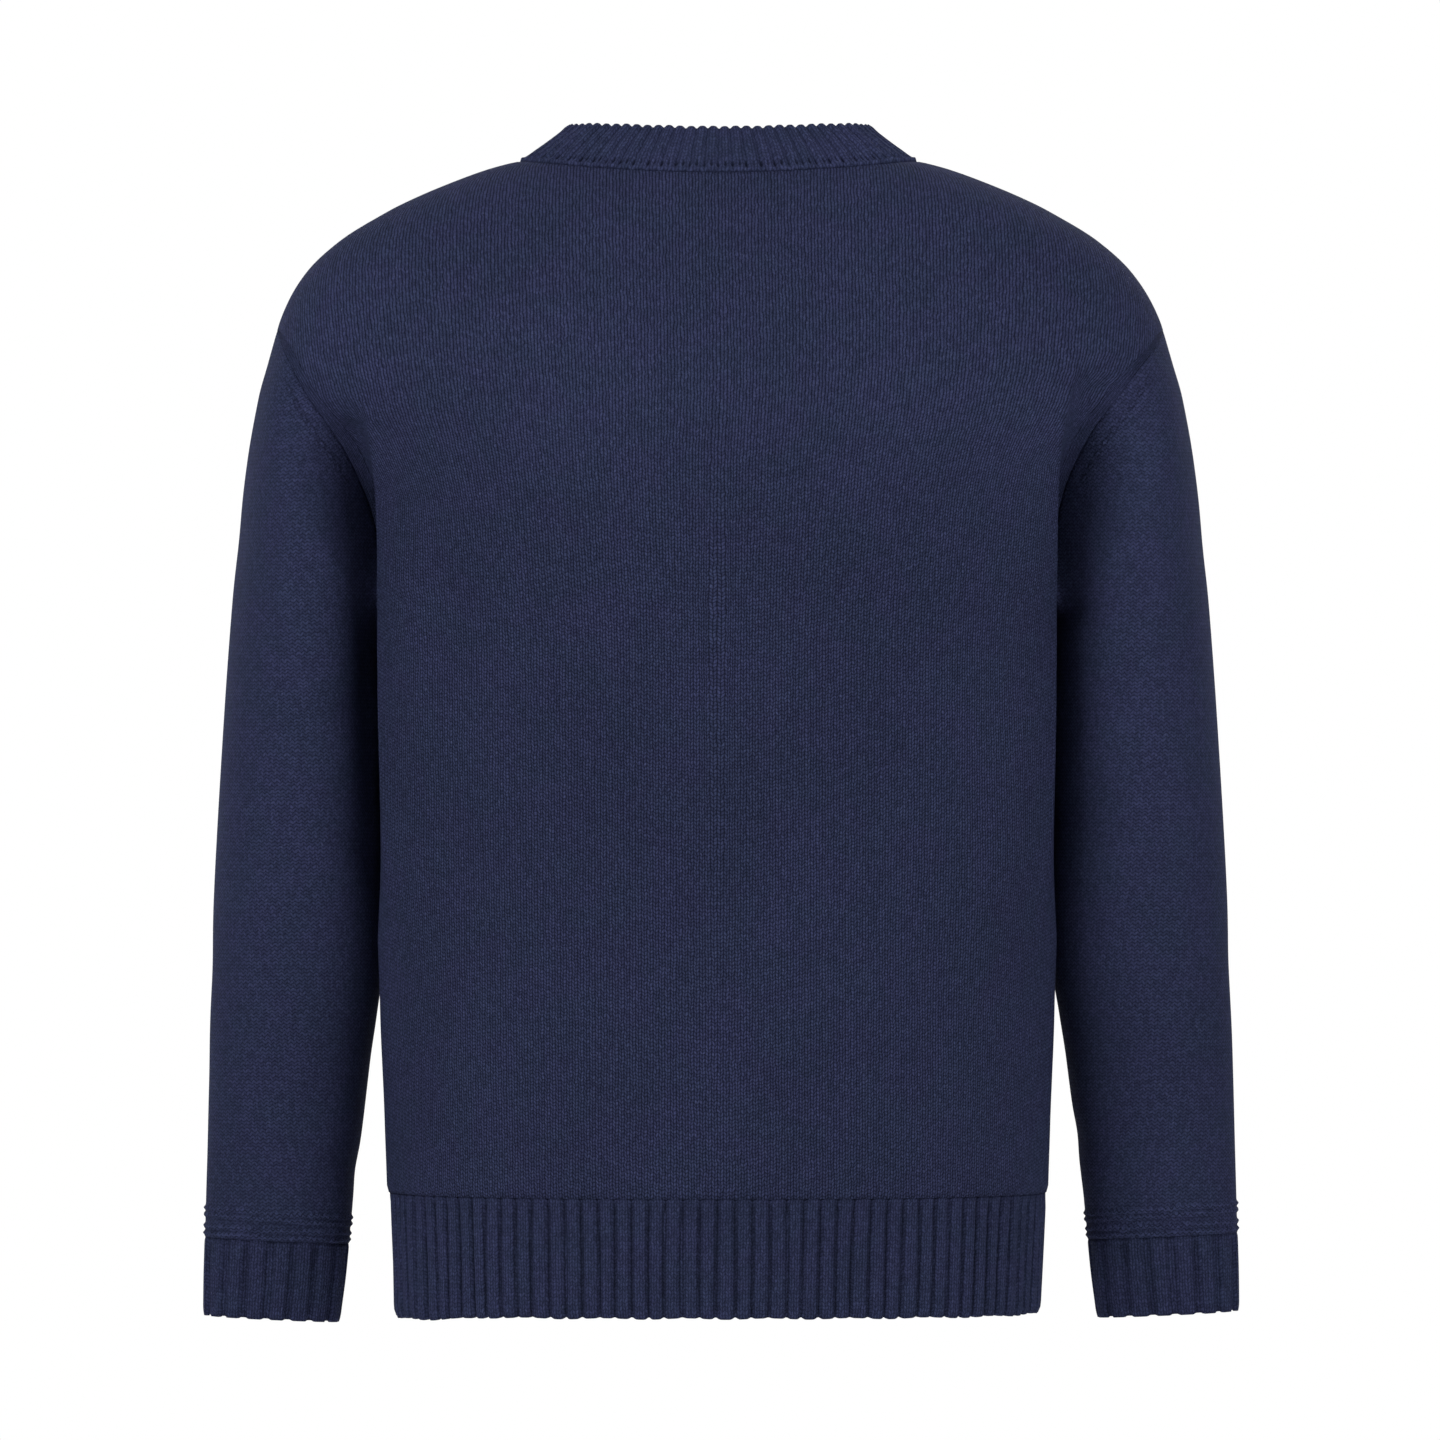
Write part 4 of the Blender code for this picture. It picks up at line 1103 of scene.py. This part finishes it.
def cuff(side, name):
    columns = CUFF_RIBS * CUFF_RIB_COLUMNS
    row = steps(CUFF_ROWS)[:, None]
    fine = np.linspace(0, 2 * np.pi, 2001)
    ring = tube(fine, np.full_like(fine, (CUFF_SEAM_DROP + CUFF_DROP) / 2))
    run = lengths(ring, 0)
    share = steps(columns)[None, :-1]
    turn = np.interp(share * run[-1], run, fine)
    drop = CUFF_SEAM_DROP + (CUFF_DROP - CUFF_SEAM_DROP) * row
    drop = drop + CUFF_SLOPE * (1 - np.cos(turn)) / 2
    base = tube(turn, drop)
    normal = cross_grid(base, True)
    normal = unit(normal * (1, 1, 0))
    base = hang(side, base * (side, 1, 1), turn, drop) * (side, 1, 1)
    phase = share * CUFF_RIBS + 0.25
    # Two plain wales and two sunk ones.
    bend = 0.05 * np.sin(phase * 1.7) * np.sin(row * 2.4 + phase)
    away = np.abs(((phase + bend) % 1.0) - 0.5) * 2
    rib = ease((0.80 - away) / 0.30)
    ends = ease(row / 0.10) * (0.4 + 0.6 * ease((1 - row) / 0.08))
    relief = (rib - 1) * CUFF_RIB_DEPTH * (0.3 + 0.7 * ends) - 0.0006 * (1 - ease((1 - row) / 0.08))
    relief = relief - 0.0005 * (1 - ease(row / 0.06)) + 0.0003 * np.sin(phase * 2.4 + row * 2)
    outer, inner = rib_faces(base, normal, relief, rib, ends)
    dip = 0.0008 * rib * ease((row - 0.75) / 0.25)
    outer[..., 2] -= dip
    inner[..., 2] -= dip
    outer[..., 0] *= side
    inner[..., 0] *= side
    u = np.concatenate([phase, phase[:, :1] + CUFF_RIBS], axis=1) * 4
    v = -(CUFF_SEAM_DROP + (CUFF_DROP - CUFF_SEAM_DROP) * row) / COURSE
    knit = stitch_corners(u, v)
    # Painted shade in the troughs between ribs.
    painted_shade = CUFF_SHADE * (1 - rib) * (0.5 + 0.5 * ends)
    return wall(name, outer, inner, knit, [RIB, RIB], closed=True, flip=side == LEFT, painted_shade=painted_shade)


def neck_rib(name):
    columns = NECK_RIBS * NECK_RIB_COLUMNS
    shares = np.linspace(-1, 1, 801)
    back, front = (torso(face, *neck_seam(face, shares)) for face in (BACK, FRONT))
    seam = np.concatenate([back[:-1], front[:0:-1]])
    closed_seam = np.concatenate([seam, seam[:1]])
    run = lengths(closed_seam, 0)
    share = steps(columns)[:-1]
    # A trough lies at the middle of the back.
    middle = run[400] / run[-1]
    at = ((share + middle) % 1.0) * run[-1]
    seam = vectors(*(np.interp(at, run, closed_seam[:, k]) for k in range(3)))
    depth = seam[:, 1] - SIDE_Y
    behind = depth > 0
    lean = RIB_LEAN_FRONT + (RIB_LEAN_BACK - RIB_LEAN_FRONT) * ease((depth + 0.012) / 0.024)
    reach = np.abs(depth) / np.where(behind, depth.max(), -depth.min())
    rise_end = np.where(behind, RIB_RISE_BACK, RIB_RISE_FRONT)
    rise = RIB_RISE_SIDE + (rise_end - RIB_RISE_SIDE) * reach**2
    free = vectors(seam[:, 0] * RIB_LEAN_SIDE, SIDE_Y + depth * lean, seam[:, 2] + rise)
    row = steps(NECK_ROWS)[:, None]
    base = free + (seam - free) * row[..., None]
    out = unit(vectors(seam[:, 0], depth, np.abs(depth).max()))
    roll = RIB_ROLL * reach - RIB_HOLLOW * (1 - reach)
    base = base + out * (roll * 4 * row * (1 - row))[..., None]
    normal = -cross_grid(base, True)
    phase = share[None, :] * NECK_RIBS
    rib = rib_height(phase, NECK_TROUGH)
    ends = (0.45 + 0.55 * ease(row / 0.12)) * ease((1 - row) / 0.14)
    relief = (rib - 1) * NECK_RIB_DEPTH * (0.3 + 0.7 * ends) + 0.0004
    relief = relief - 0.0006 * (1 - ease(row / 0.10))
    relief = relief - 0.0010 * (1 - ease((1 - row) / 0.05)) + 0.0002 * np.sin(phase * 1.7)
    # The last loops of the rib end in small pits, and under them runs the line that links it on.
    pit = (0.5 + 0.5 * np.cos(4 * np.pi * phase + 0.5 * np.sin(phase * 2.9))) ** 2
    pit = pit * (0.75 + 0.25 * np.sin(phase * 5.3)) * bell((row - PITS_AT) / 0.060)
    link = 0.5 + 0.5 * np.cos(2 * np.pi * np.round(run[-1] / LINK_PITCH) * share[None, :])
    link_line = bell((row - LINK_AT - 0.012 * link) / 0.022)
    relief = relief - PIT_DEPTH * pit + (LINK_HEIGHT + LINK_BEAD * link) * link_line
    outer, inner = rib_faces(base, normal, relief, rib, ends)
    lift = 0.0008 * rib * ease((0.22 - row) / 0.22)
    outer[..., 2] += lift
    inner[..., 2] += lift
    u = np.concatenate([phase, phase[:, :1] + NECK_RIBS], axis=1) * 2 + 0.5
    v = -row * 0.03 / COURSE
    knit = stitch_corners(u, v)
    # Painted light along the middle of each rib and along the link line, and painted shade in the
    # troughs, the pits and at the seam.
    line = bell((phase % 1.0 - 0.5) / 0.13)
    line = line * ease(row / 0.10) * ease((0.82 - row) / 0.10)
    painted_shade = NECK_SHADE * (1 - rib) * (0.4 + 0.6 * ends) - RIB_LINE_LIGHT * line
    painted_shade = np.where(pit > 0.1, np.maximum(painted_shade, PIT_SHADE * pit), painted_shade)
    painted_shade = np.maximum(painted_shade, NECK_SEAM_SHADE * bell((row - 1.0) / 0.014)) - LINK_LIGHT * link_line
    return wall(name, outer, inner, knit, [NECK_KNIT, RIB], closed=True, painted_shade=painted_shade)


# Each cut's bounding size, and the flat area of those that taper, as the cloth here unrolls.
PANEL_CUT = {BACK: ((0.63, 0.62), 0.341), FRONT: ((0.61, 0.61), 0.317)}
SLEEVE_CUT = (0.40, 0.535), 0.163


def place(piece, node, flat, area=None):
    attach(piece, "root")
    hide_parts(node)


for face, word, creases in ((BACK, "back", BACK_CREASES), (FRONT, "front", FRONT_CREASES)):
    place(panel(face, f"{word}_panel_cloth", creases), f"{word}_panel", *PANEL_CUT[face])
    place(hem_rib(face, f"{word}_hem_rib_cloth"), f"{word}_hem_rib", (0.53, 0.07))
for side, word in ((LEFT, "left"), (RIGHT, "right")):
    place(sleeve(side, f"sleeve_{word}_cloth"), f"sleeve_{word}", *SLEEVE_CUT)
    place(cuff(side, f"cuff_{word}_cloth"), f"cuff_{word}", (0.23, 0.046))
place(neck_rib("neck_rib_cloth"), "neck_rib", (0.72, 0.030))


# ---- the studio ----
FLOOR_WHITE = (0.86, 0.86, 0.86, 1.0)
FLOOR_DROP = 1.38
ROOM_LIGHT = 0.40  # the camera sees the room at 1.0

bpy.ops.mesh.primitive_plane_add(size=16.0, location=(0, 0, -FLOOR_DROP))
floor = bpy.context.object
floor.name = "floor"
white, white_shader = new_material("floor_white")
white_shader["Base Color"].default_value = FLOOR_WHITE
white_shader["Roughness"].default_value = 0.9
floor.data.materials.append(white)

world = bpy.data.worlds.new("studio")
bpy.context.scene.world = world
world.use_nodes = True
n = Nodes(world.node_tree)
n.tree.nodes.clear()
path = n.add("ShaderNodeLightPath").outputs
seen = n.math("MAXIMUM", path["Is Glossy Ray"], path["Is Transmission Ray"])
seen = n.math("MAXIMUM", path["Is Camera Ray"], seen)
background = n.add("ShaderNodeBackground")
background.inputs["Color"].default_value = (1.0, 1.0, 1.0, 1.0)
n.plug(n.ramp(seen, 0.0, 1.0, ROOM_LIGHT, 1.0), background.inputs["Strength"])
n.plug(background.outputs[0], n.add("ShaderNodeOutputWorld").inputs[0])


def lamp(name, place_at, size, power, aim=(0, 0, -0.35)):
    data = bpy.data.lights.new(name, "AREA")
    data.shape = "SQUARE"
    data.size = size
    data.energy = power
    thing = add_object(name, data)
    thing.location = place_at
    look = np.array(aim) - np.array(place_at)
    thing.rotation_euler = Vector(look).to_track_quat("-Z", "Y").to_euler()


lamp("key", (2.3, 3.0, 1.3), 2.2, 80)
lamp("fill", (-2.5, 2.9, 0.8), 2.2, 50)
lamp("front_key", (-1.4, -3.2, 1.6), 2.2, 48)
lamp("front_fill", (2.2, -2.6, 0.6), 2.4, 28)

DISTANCE, FRAME_HEIGHT, AIM_X, AIM_Z = 8.0, 0.850, 0.0003, -0.330
SENSOR = 36.0  # in millimetres
data = bpy.data.cameras.new("camera")
data.sensor_width = SENSOR
data.lens = SENSOR * DISTANCE / FRAME_HEIGHT
data.clip_end = 100.0
camera = add_object("camera", data)
camera.location = (AIM_X, DISTANCE, AIM_Z)
camera.rotation_euler = (np.pi / 2, 0.0, np.pi)
bpy.context.scene.camera = camera
bpy.context.scene.view_settings.view_transform = "Standard"
